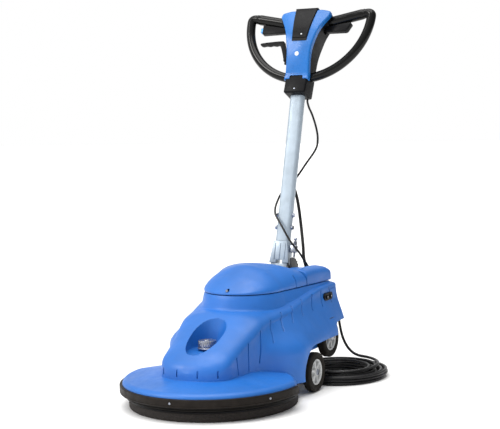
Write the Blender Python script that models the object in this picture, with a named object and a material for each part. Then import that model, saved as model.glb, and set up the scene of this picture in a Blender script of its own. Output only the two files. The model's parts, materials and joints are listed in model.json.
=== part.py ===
"""Corded high-speed floor burnisher: round polishing deck under a moulded body, with a tilting handle.

Metres, +Z up, floor at Z = 0. The front of the machine faces -Y. Every part hangs on the empty `machine`, whose
own origin is on the pad's axis, and which is moved so that the whole machine is centred on X = 0, Y = 0.
The column's parts hang on `column_frame`, on the handle's hinge, and the head's parts on `head_frame`.
"""

import math

import bmesh
import bpy
from mathutils import Matrix, Vector

GAP = 0.0003  # between pieces that touch

MACHINE_Y = -0.26850  # the pad's axis, so that the machine is centred on Y = 0

# Polishing deck
PAD_R, PAD_H = 0.254, 0.026
PAD_HOLE_R = 0.042
DRIVER_R, DRIVER_TOP = 0.2565, 0.0385
SKIRT_IN_R, SKIRT_OUT_R = 0.2588, 0.2652
SKIRT_LOW, SKIRT_TOP = 0.034, 0.0595
PLATE_LOW, PLATE_TOP, PLATE_R = 0.060, 0.0655, 0.2650
DECK_R, DECK_LOW, DECK_EDGE_Z, DECK_TOP = 0.272, 0.050, 0.070, 0.1005
DECK_WALL = 0.0062
DECK_RIM, DECK_SLOPE = 0.017, 0.032
DECK_LOBE = ((0.2695, 0.014), (0.2590, 0.034), (0.2420, 0.062), (0.2190, 0.090), (0.1930, 0.112), (0.1650, 0.126),
             (0.1450, 0.130))
BUMPER_IN_R, BUMPER_OUT_R, BUMPER_LOW, BUMPER_TOP = 0.2723, 0.2805, 0.0460, 0.0705
BUMPER_END_DEG, SKIRT_END_DEG = 1.0, -2.0  # how far behind the deck's widest line each end stops
BUMPER_SCREW_DEG = (-88.0, -26.3)

# Body hood, as half sections along Y: (y, half width at the shoulder, height on the centre line)
HOOD_FRONT, HOOD_REAR = -0.160, 0.505
HOOD_NOSE_Y, HOOD_NOSE_HALF = -0.090, 0.115
HOOD_WIDTHS = ((-0.09, 0.115), (-0.034, 0.122), (0.05, 0.136), (0.137, 0.146), (0.234, 0.164),
               (0.40, 0.184), (0.505, 0.190))
HOOD_HEIGHTS = ((-0.160, 0.118), (-0.151, 0.139), (-0.137, 0.154), (-0.12, 0.1675), (-0.05, 0.202),
                (0.036, 0.245), (0.075, 0.262), (0.20, 0.276), (0.30, 0.289), (0.40, 0.3035),
                (0.505, 0.3070))
CROWN_FRONT, CROWN_REAR = 0.046, 0.020
WALL_DRAFT = math.tan(math.radians(6.0))
FAIRING_HALF, FAIRING_LOW = 0.236, 0.047
FAIRING_START_Y, FAIRING_END_Y, FAIRING_TOP_Z = 0.020, 0.165, 0.140
FAIRING_RISE = (0.210, 0.270)  # height where the flare starts, in front and behind
TAIL_INSET = 0.012
HOOD_WALL = 0.0055

# Grooves: heights of both ends along Y, and places of the short ones at the nose
GROOVES, GROOVE_START_Y, GROOVE_PITCH = 10, -0.068, 0.058
GROOVE_FOOT_LEAN, GROOVE_TOP_LEAN = 0.028, 0.008
GROOVE_W, GROOVE_DEPTH = 0.0042, 0.0041
GROOVE_LOWS = ((-0.07, 0.103), (0.00, 0.106), (0.04, 0.130), (0.08, 0.174), (0.14, 0.202), (0.25, 0.229),
               (0.46, 0.243))
GROOVE_TOPS = ((-0.07, 0.154), (0.06, 0.219), (0.12, 0.240), (0.23, 0.264), (0.34, 0.284), (0.47, 0.294))
NOSE_GROOVES_X = (-0.090, -0.034, 0.034, 0.090)

INNER_WALL_HALF = 0.1800
# Room between the inner walls for the side plates: (front, rear, low, high)
FLANK_HOLLOWS = ((0.040, 0.156, 0.0290, 0.0720), (0.150, 0.4320, 0.0285, 0.1650),
                 (0.205, 0.4315, 0.160, 0.2000))

# Neck, lids and seam
SEAM_Z = 0.3075
LID_LOW = SEAM_Z + 0.0012
NECK_LOW = 0.250
LID_FRONT_Y, LID_ROUND_Y = 0.0985, 0.230
LID_ROUND_HALF, LID_REAR_HALF = 0.130, 0.174
LID_REAR_Y = 0.504
LID_SPLIT_Y, LID_SPLIT_GAP = 0.362, 0.0020
DOME_HEIGHTS = ((0.0985, 0.006), (0.112, 0.015), (0.135, 0.032), (0.17, 0.054), (0.23, 0.079), (0.30, 0.076),
                (0.362, 0.058))
REAR_LID_HEIGHTS = ((0.362, 0.048), (0.370, 0.052), (0.43, 0.053), (0.49, 0.050), (0.504, 0.043))
LID_VALLEY, LID_VALLEY_SPAN = 0.010, (0.085, 0.125)
LID_WALL = 0.0045
LID_SLOT_Y = 0.300

# Wheels: the main pair on the floor, the transport pair raised behind it
WHEEL_R, WHEEL_W, RIM_R = 0.061, 0.028, 0.040
AXLE_R = 0.006
MAIN_Y, MAIN_X, MAIN_Z = 0.236, 0.225, WHEEL_R
TRANSPORT_Y, TRANSPORT_X, TRANSPORT_Z = 0.407, 0.2010, 0.136
TRANSPORT_WELL_R, TRANSPORT_WELL_X = 0.066, 0.2165
ARCH_R = 0.084
WELL_IN_X = 0.1865
SILL_Z, NOTCH_Y, TAIL_Z = 0.147, 0.412, 0.184
INNER_SILL_Z, INNER_SILL_END_Y = 0.112, 0.468
SIDE_PLATE_X, SIDE_PLATE_T = 0.172, 0.006

# Column and its hinge
PIVOT_Y, PIVOT_Z = 0.485, 0.335
COLUMN_TILT = math.radians(17.0)
HEAD_TILT = math.radians(25.0)
TUBE_W, TUBE_D, TUBE_WALL = 0.048, 0.026, 0.0025
TUBE_START, TUBE_END = 0.100, 0.640
COLLAR_AT = 0.617
BOLTS_AT = (0.146, 0.188)
NOTCH_HALF, NOTCH_FRONT_Y = 0.058, 0.440
CHEEK_X, CHEEK_T = 0.030, 0.006
PIN_R = 0.007

# Handle head, in its own frame: X across, Z up along the head, -Y towards the front
LOOP_R, TUBE_R = 0.226, 0.0157
LOOP_TOP, GRIP_IN_Z, GRIP_OUT_Z = 0.272, 0.258, 0.286
GRIP_IN_X = 0.085
COVER_OUTLINE = ((0.0445, 0.030), (0.0425, 0.075), (0.0440, 0.126), (0.0515, 0.168), (0.0640, 0.212),
                 (0.0905, 0.262), (0.0880, 0.280), (0.0560, 0.290))
COVER_FRONT, COVER_BACK = 0.036, 0.018
HOUSING_BACK = -0.034
COLLAR_HALF, COLLAR_FRONT, COLLAR_LOW, COLLAR_TOP = 0.0400, 0.034, -0.018, 0.0505

# Drive
MOTOR_Y, MOTOR_R, MOTOR_LOW, MOTOR_TOP = 0.270, 0.070, 0.126, 0.352
PULLEY_Z, PULLEY_H = 0.086, 0.018
SPINDLE_PULLEY_R, MOTOR_PULLEY_R = 0.066, 0.034
BELT_T = 0.004
KNOB_Y, KNOB_Z, KNOB_R, KNOB_H = -0.030, 0.180, 0.0275, 0.020
RECESS_HALF, RECESS_FLOOR_T = 0.046, 0.0045
CASTER_Y, CASTER_Z, CASTER_R = 0.012, 0.0195, 0.0165

# Two thermal breakers in one bezel on the left flank
BREAKER_Y, BREAKER_Z = 0.440, 0.2645
BREAKER_LONG, BREAKER_HIGH, BREAKER_PITCH = 0.064, 0.023, 0.028
BREAKER_BUTTON_R = 0.0072

# Column latch: a plunger along the column over a notched sector on the hinge tower
LATCH_X, PLUNGER_R = 0.0450, 0.0040
SECTOR_R, SECTOR_T = 0.046, 0.005
SECTOR_START_DEG, SECTOR_END_DEG, SECTOR_STEP_DEG = -16, 80, 4

# Levers in the head's frame, as (x, z) outlines and pivots
TRIGGER_PIVOT = (0.072, 0.2305)
TRIGGER_HALF = 0.0100
LEFT_TRIGGER = ((-0.0665, 0.2240), (-0.1720, 0.2214), (-0.1725, 0.2535), (-0.1690, 0.2550),
                (-0.0885, 0.2395),
                (-0.0665, 0.2375))
RIGHT_TRIGGER = ((0.0665, 0.2240), (0.0680, 0.2165), (0.1420, 0.2165), (0.1470, 0.2195), (0.1600, 0.2440),
                 (0.1560, 0.2500), (0.1200, 0.2450), (0.0885, 0.2390), (0.0665, 0.2375))
BUTTON_Z, BUTTON_HALF_Z, BUTTON_HALF_Y = 0.2365, 0.0090, 0.0075
BUTTON_OUT_X, BUTTON_IN_X, BUTTON_SEAT_X = -0.1815, -0.1685, -0.1640
LEVER_PIVOT = (-0.066, 0.118)
RELEASE_LEVER = ((-0.0590, 0.1150), (-0.0585, 0.1240), (-0.0780, 0.1760), (-0.0810, 0.1870),
                 (-0.0880, 0.1915),
                 (-0.1680, 0.1868), (-0.1735, 0.1830), (-0.1710, 0.1775), (-0.1610, 0.1745),
                 (-0.1490, 0.1775),
                 (-0.1370, 0.1745), (-0.1250, 0.1778), (-0.1130, 0.1745), (-0.1000, 0.1775),
                 (-0.0920, 0.1700),
                 (-0.0745, 0.1235), (-0.0740, 0.1150), (-0.0700, 0.1100), (-0.0620, 0.1100))

# Mains cord: leaves the rear wall through a gland, drops on to its own coil on the floor and ends in a plug
CORD_R = 0.0045
GLAND_X, GLAND_Z, GLAND_END_Y = 0.150, 0.245, 0.5420
COIL_X, COIL_Y = 0.215, 0.467
COIL_IN_R, COIL_OUT_R, COIL_H = 0.085, 0.155, 0.040
MAINS_ROUTE = ((0.150, GLAND_END_Y + GAP, 0.2450), (0.150, 0.560, 0.2445), (0.150, 0.583, 0.236),
               (0.151, 0.600, 0.214), (0.153, 0.607, 0.180), (0.157, 0.608, 0.145), (0.166, 0.607, 0.105),
               (0.182, 0.604, 0.074), (0.204, 0.599, 0.054), (0.228, 0.592, 0.0460), (0.248, 0.5845, 0.0452))
PLUG_X, PLUG_Y, PLUG_Z, PLUG_TURN = 0.0530, 0.467, 0.0185, math.radians(20.0)

# Leads from the head into the rear wall, one at each side of the column
LEAD_R, MOTOR_LEAD_R = 0.0035, 0.0052
CONTROL_ROUTE = ((0.0300, 0.6750, 0.8983), (0.0300, 0.6712, 0.8900), (0.0345, 0.6730, 0.870),
                 (0.0440, 0.6790, 0.843), (0.0570, 0.6790, 0.800), (0.0655, 0.6700, 0.762),
                 (0.0620, 0.6580, 0.728), (0.0340, 0.6360, 0.680), (0.0140, 0.6110, 0.641),
                 (-0.0090, 0.5930, 0.610), (-0.0340, 0.5830, 0.585), (-0.0410, 0.5680, 0.563),
                 (-0.0400, 0.5450, 0.541),
                 (-0.0300, 0.5220, 0.520), (-0.0120, 0.5090, 0.499), (0.0100, 0.4970, 0.473),
                 (0.0300, 0.4890, 0.446),
                 (0.0520, 0.4840, 0.420), (0.0730, 0.4840, 0.396), (0.0840, 0.4920, 0.373),
                 (0.0910, 0.5080, 0.350),
                 (0.0950, 0.5250, 0.322), (0.0960, 0.5320, 0.292), (0.0960, 0.5280, 0.270),
                 (0.0960, 0.5170, 0.2620),
                 (0.0960, 0.5070, 0.2620))
MOTOR_ROUTE = ((-0.0120, 0.67928, 0.89804), (-0.0120, 0.67505, 0.88898), (-0.0128, 0.6690, 0.870),
               (-0.0145, 0.6615, 0.833), (-0.0150, 0.6480, 0.780), (-0.0150, 0.6330, 0.720),
               (-0.0130, 0.6220, 0.665), (-0.0100, 0.6135, 0.630), (0.0030, 0.6060, 0.600),
               (0.0170, 0.5950, 0.570), (0.0310, 0.5790, 0.532), (0.0460, 0.5600, 0.476),
               (0.0640, 0.5320, 0.416),
               (0.0720, 0.5190, 0.375), (0.0780, 0.5240, 0.340), (0.0790, 0.5320, 0.312),
               (0.0790, 0.5330, 0.286),
               (0.0785, 0.5280, 0.267), (0.0780, 0.5170, 0.2600), (0.0780, 0.5072, 0.2600))


def clear_scene():
    for old in list(bpy.data.objects):
        bpy.data.objects.remove(old, do_unlink=True)


def material(name, colour, roughness, metallic=0.0):
    mat = bpy.data.materials.new(name)
    mat.use_nodes = True
    shader = mat.node_tree.nodes["Principled BSDF"]
    shader.inputs["Base Color"].default_value = (*colour, 1.0)
    shader.inputs["Roughness"].default_value = roughness
    shader.inputs["Metallic"].default_value = metallic
    mat.diffuse_color = (*colour, 1.0)
    return mat


def empty(name, location, tilt=0.0, parent=None):
    obj = bpy.data.objects.new(name, None)
    bpy.context.collection.objects.link(obj)
    obj.parent = parent
    obj.location = location
    obj.rotation_euler = (tilt, 0.0, 0.0)
    return obj


def to_object(name, bm, mat, origin=(0.0, 0.0, 0.0), parent=None, smooth=35.0):
    """Turn a bmesh whose points are in the parent's frame into an object with the given origin."""
    bmesh.ops.translate(bm, verts=bm.verts, vec=-Vector(origin))
    bmesh.ops.recalc_face_normals(bm, faces=bm.faces)
    mesh = bpy.data.meshes.new(name)
    bm.to_mesh(mesh)
    bm.free()
    mesh.shade_smooth()
    mesh.set_sharp_from_angle(angle=math.radians(smooth))
    mesh.materials.append(mat)
    obj = bpy.data.objects.new(name, mesh)
    bpy.context.collection.objects.link(obj)
    obj.parent = parent or MACHINE
    obj.location = origin
    return obj


def cutter(name, bm, parent=None):
    """Hidden tool for a live Boolean."""
    obj = to_object(name, bm, MAT["cutter"], parent=parent)
    obj.hide_render = True
    obj.display_type = "WIRE"
    return obj


def boolean(obj, other, operation="DIFFERENCE"):
    mod = obj.modifiers.new(other.name, "BOOLEAN")
    mod.operation = operation
    mod.solver = "EXACT"
    mod.object = other


def loft(rings, closed=False):
    """Skin rings of equal length; cap both ends unless the loft closes on itself."""
    bm = bmesh.new()
    loops = [[bm.verts.new(p) for p in ring] for ring in rings]
    count = len(loops[0])
    pairs = list(zip(loops, loops[1:]))
    if closed:
        pairs.append((loops[-1], loops[0]))
    for low, high in pairs:
        for i in range(count):
            j = (i + 1) % count
            bm.faces.new((low[i], low[j], high[j], high[i]))
    bmesh.ops.triangulate(bm, faces=bm.faces)
    if not closed:
        bm.faces.new(loops[0])
        bm.faces.new(loops[-1])
    return bm


def turned(profile, segments=64, axis="Z", centre=(0.0, 0.0, 0.0)):
    """Revolve a closed (radius, height) outline; points on the axis have radius 0."""
    bm = bmesh.new()
    rows = []
    for radius, height in profile:
        if radius == 0.0:
            rows.append([bm.verts.new((0.0, 0.0, height))])
            continue
        steps = [2.0 * math.pi * k / segments for k in range(segments)]
        rows.append([bm.verts.new((radius * math.cos(a), radius * math.sin(a), height)) for a in steps])
    for low, high in zip(rows, rows[1:] + rows[:1]):
        if len(low) == 1 and len(high) == 1:
            continue
        for k in range(segments):
            n = (k + 1) % segments
            corner = [low[k % len(low)], low[n % len(low)], high[n % len(high)], high[k % len(high)]]
            bm.faces.new(list(dict.fromkeys(corner)))
    turn = {"Z": Matrix.Identity(4), "X": Matrix.Rotation(math.pi / 2, 4, "Y"),
            "Y": Matrix.Rotation(-math.pi / 2, 4, "X")}[axis]
    bmesh.ops.transform(bm, matrix=Matrix.Translation(centre) @ turn, verts=bm.verts)
    return bm


def cylinder(radius, low, high, segments=32, axis="Z", centre=(0.0, 0.0, 0.0), bevel=0.0):
    outline = [(0.0, low), (radius - bevel, low)]
    if bevel:
        outline += [(radius, low + bevel), (radius, high - bevel)]
    else:
        outline += [(radius, high)]
    if bevel:
        outline += [(radius - bevel, high)]
    outline += [(0.0, high)]
    return turned(outline, segments, axis, centre)


def tube(outer, inner, low, high, segments=32, axis="Z", centre=(0.0, 0.0, 0.0)):
    return turned([(inner, low), (outer, low), (outer, high), (inner, high)], segments, axis, centre)


def box(low, high, bevel=0.0, segments=2):
    bm = bmesh.new()
    bmesh.ops.create_cube(bm, size=1.0)
    size = [b - a for a, b in zip(low, high)]
    centre = [(a + b) / 2 for a, b in zip(low, high)]
    bmesh.ops.transform(bm, matrix=Matrix.Translation(centre) @ Matrix.Diagonal((*size, 1.0)),
                        verts=bm.verts)
    if bevel:
        bmesh.ops.bevel(bm, geom=list(bm.edges), offset=bevel, segments=segments, affect="EDGES",
                        profile=0.5)
    return bm


def prism(outline, low, high, plane="YZ"):
    """Extrude a closed outline given in a plane along the plane's normal."""
    def point(a, b, c):
        return {"YZ": (c, a, b), "XZ": (a, c, b), "XY": (a, b, c)}[plane]
    return loft([[point(a, b, c) for a, b in outline] for c in (low, high)])


def merged(*shapes):
    """Put several shapes in one bmesh, for a cutter made of separate bodies."""
    bm = bmesh.new()
    for shape in shapes:
        mesh = bpy.data.meshes.new("part")
        bmesh.ops.recalc_face_normals(shape, faces=shape.faces)
        shape.to_mesh(mesh)
        shape.free()
        bm.from_mesh(mesh)
        bpy.data.meshes.remove(mesh)
    return bm


def mirrored(outline):
    """Close a right-hand outline, given from bottom to top, with its mirror image."""
    return list(outline) + [(-x, z) for x, z in reversed(outline) if x > 1e-6]


def smooth_step(value, start, end):
    t = min(max((value - start) / (end - start), 0.0), 1.0)
    return t * t * (3.0 - 2.0 * t)


def through(points, y):
    """Monotone cubic through (y, value) points, so that a hand-chosen profile has no overshoot."""
    if y <= points[0][0]:
        return points[0][1]
    if y >= points[-1][0]:
        return points[-1][1]
    spans = [(b[0] - a[0], (b[1] - a[1]) / (b[0] - a[0])) for a, b in zip(points, points[1:])]
    slopes = [spans[0][1]]
    for (_, before), (_, after) in zip(spans, spans[1:]):
        slopes.append(0.0 if before * after <= 0.0 else 2.0 * before * after / (before + after))
    slopes.append(spans[-1][1])
    k = next(i for i, p in enumerate(points[1:]) if y <= p[0])
    width = spans[k][0]
    t = (y - points[k][0]) / width
    (_, a), (_, b) = points[k], points[k + 1]
    return ((1 + 2 * t) * (1 - t) ** 2 * a + t * (1 - t) ** 2 * width * slopes[k]
            + t * t * (3 - 2 * t) * b + t * t * (t - 1) * width * slopes[k + 1])


def hood_half(y):
    if y >= HOOD_NOSE_Y:
        return through(HOOD_WIDTHS, y)
    reach = (HOOD_NOSE_Y - y) / (HOOD_NOSE_Y - HOOD_FRONT)
    return HOOD_NOSE_HALF * max(1.0 - reach ** 2.2, 0.0) ** (1 / 2.2)


def hood_top(y):
    return through(HOOD_HEIGHTS, y)


def crown(y):
    depth = CROWN_FRONT + (CROWN_REAR - CROWN_FRONT) * smooth_step(y, 0.0, 0.42)
    return min(depth, 0.8 * (hood_top(y) - 0.098))


def crown_power(y):
    return 2.5 + 2.7 * smooth_step(y, 0.20, 0.45)


def hood_wall_x(y, z, flared=True):
    top = hood_top(y) - crown(y)
    half = hood_half(y) + WALL_DRAFT * max(top - z, 0.0) * smooth_step(y, -0.14, -0.05)
    if not flared:
        return half
    start = FAIRING_RISE[0] + (FAIRING_RISE[1] - FAIRING_RISE[0]) * smooth_step(y, 0.0, 0.27)
    widest = FAIRING_HALF - TAIL_INSET * smooth_step(y, 0.40, HOOD_REAR)
    flare = max(widest - half, 0.0) * smooth_step(y, FAIRING_START_Y, FAIRING_END_Y)
    return half + flare * smooth_step(start - z, 0.0, start - FAIRING_TOP_Z)


def hood_ring(y, low, inset=0.0, flared=True, limit=1.0, walls=5, arc=6):
    """One cross-section of the hood: up the side wall, over the crowned top, and down the other side."""
    depth = crown(y) - inset * 0.5
    power = crown_power(y)
    top = hood_top(y) - inset
    shoulder = top - depth
    half = []
    for k in range(walls):
        z = low + (shoulder - low) * k / walls
        half.append((min(hood_wall_x(y, z + inset, flared) - inset, limit), z))
    wide = min(hood_wall_x(y, shoulder + inset, flared) - inset, limit)
    for k in range(arc):
        x = wide * math.cos(math.pi / 2 * k / arc) ** 0.66
        half.append((x, shoulder + depth * (1.0 - (x / wide) ** power) ** (1 / power)))
    return [(x, y, z) for x, z in mirrored(half + [(0.0, top)])]


def hood_side_x(y, z):
    """Half width of the hood at a height, on its wall or on its crown."""
    shoulder = hood_top(y) - crown(y)
    if z <= shoulder:
        return hood_wall_x(y, z)
    rise = min((z - shoulder) / crown(y), 0.98)
    return hood_wall_x(y, shoulder) * (1.0 - rise ** crown_power(y)) ** (1 / crown_power(y))


def hood_low(y):
    return 0.078 + (FAIRING_LOW - 0.078) * smooth_step(y, 0.045, 0.075)


def spread(start, end, count, ease):
    """Stations from start to end, closer together near the start."""
    return [start + (end - start) * (k / (count - 1)) ** ease for k in range(count)]


def hood_shape():
    front = spread(HOOD_FRONT + 0.0006, HOOD_NOSE_Y + 0.01, 7, 1.8)
    back = [HOOD_NOSE_Y + 0.01 + (HOOD_REAR - HOOD_NOSE_Y - 0.01) * k / 16 for k in range(1, 17)]
    return loft([hood_ring(y, hood_low(y)) for y in front + back])


def hood_cavity():
    front = spread(HOOD_FRONT + HOOD_WALL + 0.002, HOOD_NOSE_Y + 0.01, 5, 1.6)
    back = [HOOD_NOSE_Y + 0.01 + (HOOD_REAR - HOOD_WALL - HOOD_NOSE_Y - 0.01) * k / 10 for k in range(1, 11)]
    return loft([hood_ring(y, 0.030, HOOD_WALL, False, INNER_WALL_HALF, 4, 4) for y in front + back])


def lid_half(y):
    if y < LID_ROUND_Y:
        reach = (LID_ROUND_Y - y) / (LID_ROUND_Y - LID_FRONT_Y)
        return LID_ROUND_HALF * max(1.0 - reach ** 2, 0.0) ** 0.5
    return LID_ROUND_HALF + (LID_REAR_HALF
                             - LID_ROUND_HALF) * ((y - LID_ROUND_Y) / (LID_REAR_Y - LID_ROUND_Y)) ** 0.85


def lid_plan(grow, count=11):
    """Plan outline of the seam, moved outwards by grow: round in front, square behind."""
    right = []
    for k in range(count + 1):
        t = k / count
        y = LID_FRONT_Y + (LID_ROUND_Y - LID_FRONT_Y) * (1 - math.cos(math.pi / 2 * t))
        right.append((lid_half(y) * (1 + grow / LID_ROUND_HALF), y - grow * math.cos(math.pi / 2 * t)))
    for y in (0.30, 0.36, 0.43, LID_REAR_Y - 0.012):
        right.append((lid_half(y) + grow, y))
    right.append((lid_half(LID_REAR_Y) - 0.006 + grow, LID_REAR_Y - 0.003 + min(grow, 0.0)))
    right.append((lid_half(LID_REAR_Y) - 0.014 + grow, LID_REAR_Y + min(grow, 0.0)))
    return mirrored(right)


def neck_shape():
    levels = ((NECK_LOW, 0.0230), (0.262, 0.0170), (0.272, 0.0120), (0.290, 0.0055), (SEAM_Z, -0.0015))
    return loft([[(x, y, z) for x, y in lid_plan(grow)] for z, grow in levels])


def neck_cavity():
    return loft([[(x, y, z) for x, y in lid_plan(-0.0075)] for z in (0.235, SEAM_Z + 0.01)])


def lid_ring(y, inset=0.0, arc=6):
    rear = y >= LID_SPLIT_Y
    power = 6.0 if rear else 1.7 + 1.1 * smooth_step(y, 0.22, LID_SPLIT_Y)
    wide = max(lid_half(y) - inset, 0.002)
    high = max(through(REAR_LID_HEIGHTS if rear else DOME_HEIGHTS, y) - inset, 0.002)
    lip = 0.0 if inset else 0.006
    low = LID_LOW - (0.01 if inset else 0.0)
    half = [(wide, low)]
    for k in range(arc):
        x = wide * math.cos(math.pi / 2 * k / arc) ** 0.75
        valley = LID_VALLEY * (1.0 - smooth_step(x, *LID_VALLEY_SPAN)) if rear else 0.0
        half.append((x, LID_LOW + lip + (high - lip) * (1.0 - (x / wide) ** power) ** (1 / power) - valley))
    return [(x, y, z) for x, z in mirrored(half + [(0.0, LID_LOW + high - (LID_VALLEY if rear else 0.0))])]


def lid_shape(start, end, count):
    if start < LID_ROUND_Y:
        stations = spread(start + 0.0004, end, count, 1.7)
    else:
        stations = [start + (end - start) * k / (count - 1) for k in range(count)]
    return loft([lid_ring(y) for y in stations])


def lid_cavity(start, end, count):
    if start < LID_ROUND_Y:
        stations = spread(start + LID_WALL, end, count, 1.5)
    else:
        stations = [start + (end - start) * k / (count - 1) for k in range(count)]
    return loft([lid_ring(y, LID_WALL) for y in stations])


def deck_plan(steps):
    """Plan outline of the deck with outward directions: half circle in front, each end curling in to the flank."""
    arc = [(DECK_R * math.cos(a), -DECK_R * math.sin(a)) for a in (math.pi * k / steps for k in range(steps + 1))]
    spots = arc + [(-x, y) for x, y in DECK_LOBE] + list(reversed(DECK_LOBE))
    plan = []
    for k, (x, y) in enumerate(spots):
        before, after = spots[k - 1], spots[(k + 1) % len(spots)]
        along = Vector((after[0] - before[0], after[1] - before[1])).normalized()
        plan.append((x, y, -along.y, along.x))
    return plan


def deck_shape(steps, turns):
    """Deck's shell: a low cone, a rounded rim that follows the plan, and a plain wall down into the bumper."""
    corners = [math.pi / 2 * (1 - k / turns) for k in range(turns + 1)]
    rim = [(DECK_RIM * (1 - math.sin(a)), 1.0, DECK_EDGE_Z + 0.0150 * math.cos(a)) for a in corners]
    slope = [(DECK_SLOPE, 1.0, 0.0870), (DECK_SLOPE, 0.69, 0.0970), (DECK_SLOPE, 0.54, DECK_TOP)]
    slope += [(DECK_SLOPE, 0.05, DECK_TOP), (DECK_SLOPE, 0.05, DECK_TOP - DECK_WALL)]
    under = [(DECK_SLOPE, 0.54, DECK_TOP - DECK_WALL), (DECK_SLOPE, 1.0, 0.0810), (DECK_WALL, 1.0, DECK_EDGE_Z - 0.004)]
    profile = [(DECK_WALL, 1.0, DECK_LOW), (0.0, 1.0, DECK_LOW)] + rim + slope + under
    plan = deck_plan(steps)
    rings = [[((x - nx * inset) * scale, (y - ny * inset) * scale, z) for x, y, nx, ny in plan]
             for inset, scale, z in profile]
    return loft(rings, closed=True)


def bumper_screw_places():
    return [Vector((math.cos(a), math.sin(a), 0.0)) for a in map(math.radians, BUMPER_SCREW_DEG)]


def wheel_wells():
    """Space round each wheel, open below, and the body's lower edge behind the main wheel."""
    shapes = []
    for side in (-1, 1):
        inner, outer = side * WELL_IN_X, side * 0.30
        shapes.append(cylinder(ARCH_R, min(inner, outer), max(inner, outer), 32, "X",
                               (0.0, MAIN_Y, MAIN_Z + 0.002)))
        low, high = sorted((inner, side * TRANSPORT_WELL_X))
        shapes.append(cylinder(TRANSPORT_WELL_R, low, high, 28, "X", (0.0, TRANSPORT_Y, TRANSPORT_Z)))
    return merged(*shapes)


def sill_cut():
    """Everything below the sill behind the main wheels, with the stepped notch before the tail."""
    outline = [(MAIN_Y, 0.0), (0.60, 0.0), (0.60, TAIL_Z), (NOTCH_Y + 0.022, TAIL_Z),
               (NOTCH_Y + 0.010, TAIL_Z - 0.006),
               (NOTCH_Y + 0.004, TAIL_Z - 0.020), (NOTCH_Y, SILL_Z), (MAIN_Y, SILL_Z)]
    inner = [(MAIN_Y, 0.0), (0.60, 0.0), (0.60, TAIL_Z), (INNER_SILL_END_Y, TAIL_Z),
             (INNER_SILL_END_Y, INNER_SILL_Z), (MAIN_Y, INNER_SILL_Z)]
    shapes = []
    for side in (-1, 1):
        shapes.append(prism(outline, *sorted((side * WELL_IN_X, side * 0.30))))
        shapes.append(prism(inner, *sorted((side * 0.1500, side * (WELL_IN_X + 0.001)))))
    return shapes


def build_body():
    body = to_object("body_shell", deck_shape(44, 3), MAT["blue"], smooth=38.0)
    boolean(body, cutter("hood_solid", hood_shape()), "UNION")
    boolean(body, cutter("neck_solid", neck_shape()), "UNION")
    hollow = cutter("hood_hollow", hood_cavity())
    for index, (start, end, low, high) in enumerate(FLANK_HOLLOWS):
        room = box((-0.1795, start, low), (0.1795, end, high))
        boolean(hollow, cutter(f"flank_hollow_{index + 1}", room), "UNION")
    boolean(hollow, cutter("neck_hollow", neck_cavity()), "UNION")
    boolean(hollow, cutter("recess_bowl", knob_recess(RECESS_FLOOR_T)))
    boolean(hollow, cutter("hollow_stop", box((-0.066, NOTCH_FRONT_Y - 0.008, 0.02), (0.066, 0.56, 0.40))))
    boolean(body, hollow)
    boolean(body, cutter("wells", wheel_wells()))
    for index, shape in enumerate(sill_cut()):
        boolean(body, cutter(f"sill_{index + 1}", shape))
    boolean(body, cutter("column_notch", box((-NOTCH_HALF, NOTCH_FRONT_Y, 0.10), (NOTCH_HALF, 0.60, 0.40))))
    boolean(body, cutter("rear_low", box((-0.165, HOOD_REAR - 0.060, 0.02), (0.165, 0.60, SILL_Z + 0.01))))
    boolean(body, cutter("knob_recess", knob_recess()))
    boolean(body, cutter("grooves", body_grooves()))
    boolean(body, cutter("body_holes", body_holes()))
    return body


def knob_recess(wall=0.0):
    """Leaf-shaped scoop round the adjuster knob, round behind and pointed in front, or its outside at a wall."""
    def leaf(grow, z, lean):
        grow += wall
        half = []
        for k in range(11):
            t = k / 10
            y = KNOB_Y - 0.098 - grow + (0.158 + 2 * grow) * t
            reach = 1.0 - t / 0.6 if t < 0.6 else (t - 0.6) / 0.4
            half.append(((RECESS_HALF + grow) * math.sqrt(max(1.0 - reach ** 2, 0.0)), y + lean))
        ring = [(0.0, half[0][1])] + half[1:-1] + [(0.0, half[-1][1])]
        return [(x, y, z) for x, y in ring + [(-x, y) for x, y in ring[-2:0:-1]]]
    return loft([leaf(-0.004, KNOB_Z - 0.0155 - wall, 0.0), leaf(0.0, KNOB_Z - 0.012, 0.0),
                 leaf(0.006, 0.215, 0.004),
                 leaf(0.012, 0.262, 0.006)])


def body_grooves():
    """Thin upright grooves down both flanks, and short ones round the foot of the nose."""
    shapes = []
    for k in range(GROOVES):
        bow = math.sin(math.pi * k / (GROOVES - 1))
        middle_y = GROOVE_START_Y + GROOVE_PITCH * k
        foot_y, top_y = middle_y - GROOVE_FOOT_LEAN * bow, middle_y + GROOVE_TOP_LEAN * bow
        low, top = through(GROOVE_LOWS, foot_y), through(GROOVE_TOPS, top_y)
        for side in (-1, 1):
            rings = []
            for t in (0.0, 0.25, 0.5, 0.75, 1.0):
                y, z = foot_y + (top_y - foot_y) * t, low + (top - low) * t
                floor = side * (hood_side_x(y, z) - GROOVE_DEPTH)
                beyond = floor + side * 0.05
                rings.append([(floor, y - GROOVE_W / 2, z), (beyond, y - GROOVE_W / 2, z),
                              (beyond, y + GROOVE_W / 2, z), (floor, y + GROOVE_W / 2, z)])
            shapes.append(loft(rings))
    for x in NOSE_GROOVES_X:
        y = nose_y(x) + GROOVE_DEPTH
        shapes.append(box((x - GROOVE_W / 2, y - 0.04, 0.1060), (x + GROOVE_W / 2, y, 0.1270)))
    return merged(*shapes)


def nose_y(x):
    """Front of the hood's foot at a distance from the middle."""
    across = (abs(x) / HOOD_NOSE_HALF) ** 2.2
    return HOOD_NOSE_Y - (HOOD_NOSE_Y - HOOD_FRONT) * (1.0 - across) ** (1 / 2.2)


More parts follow.
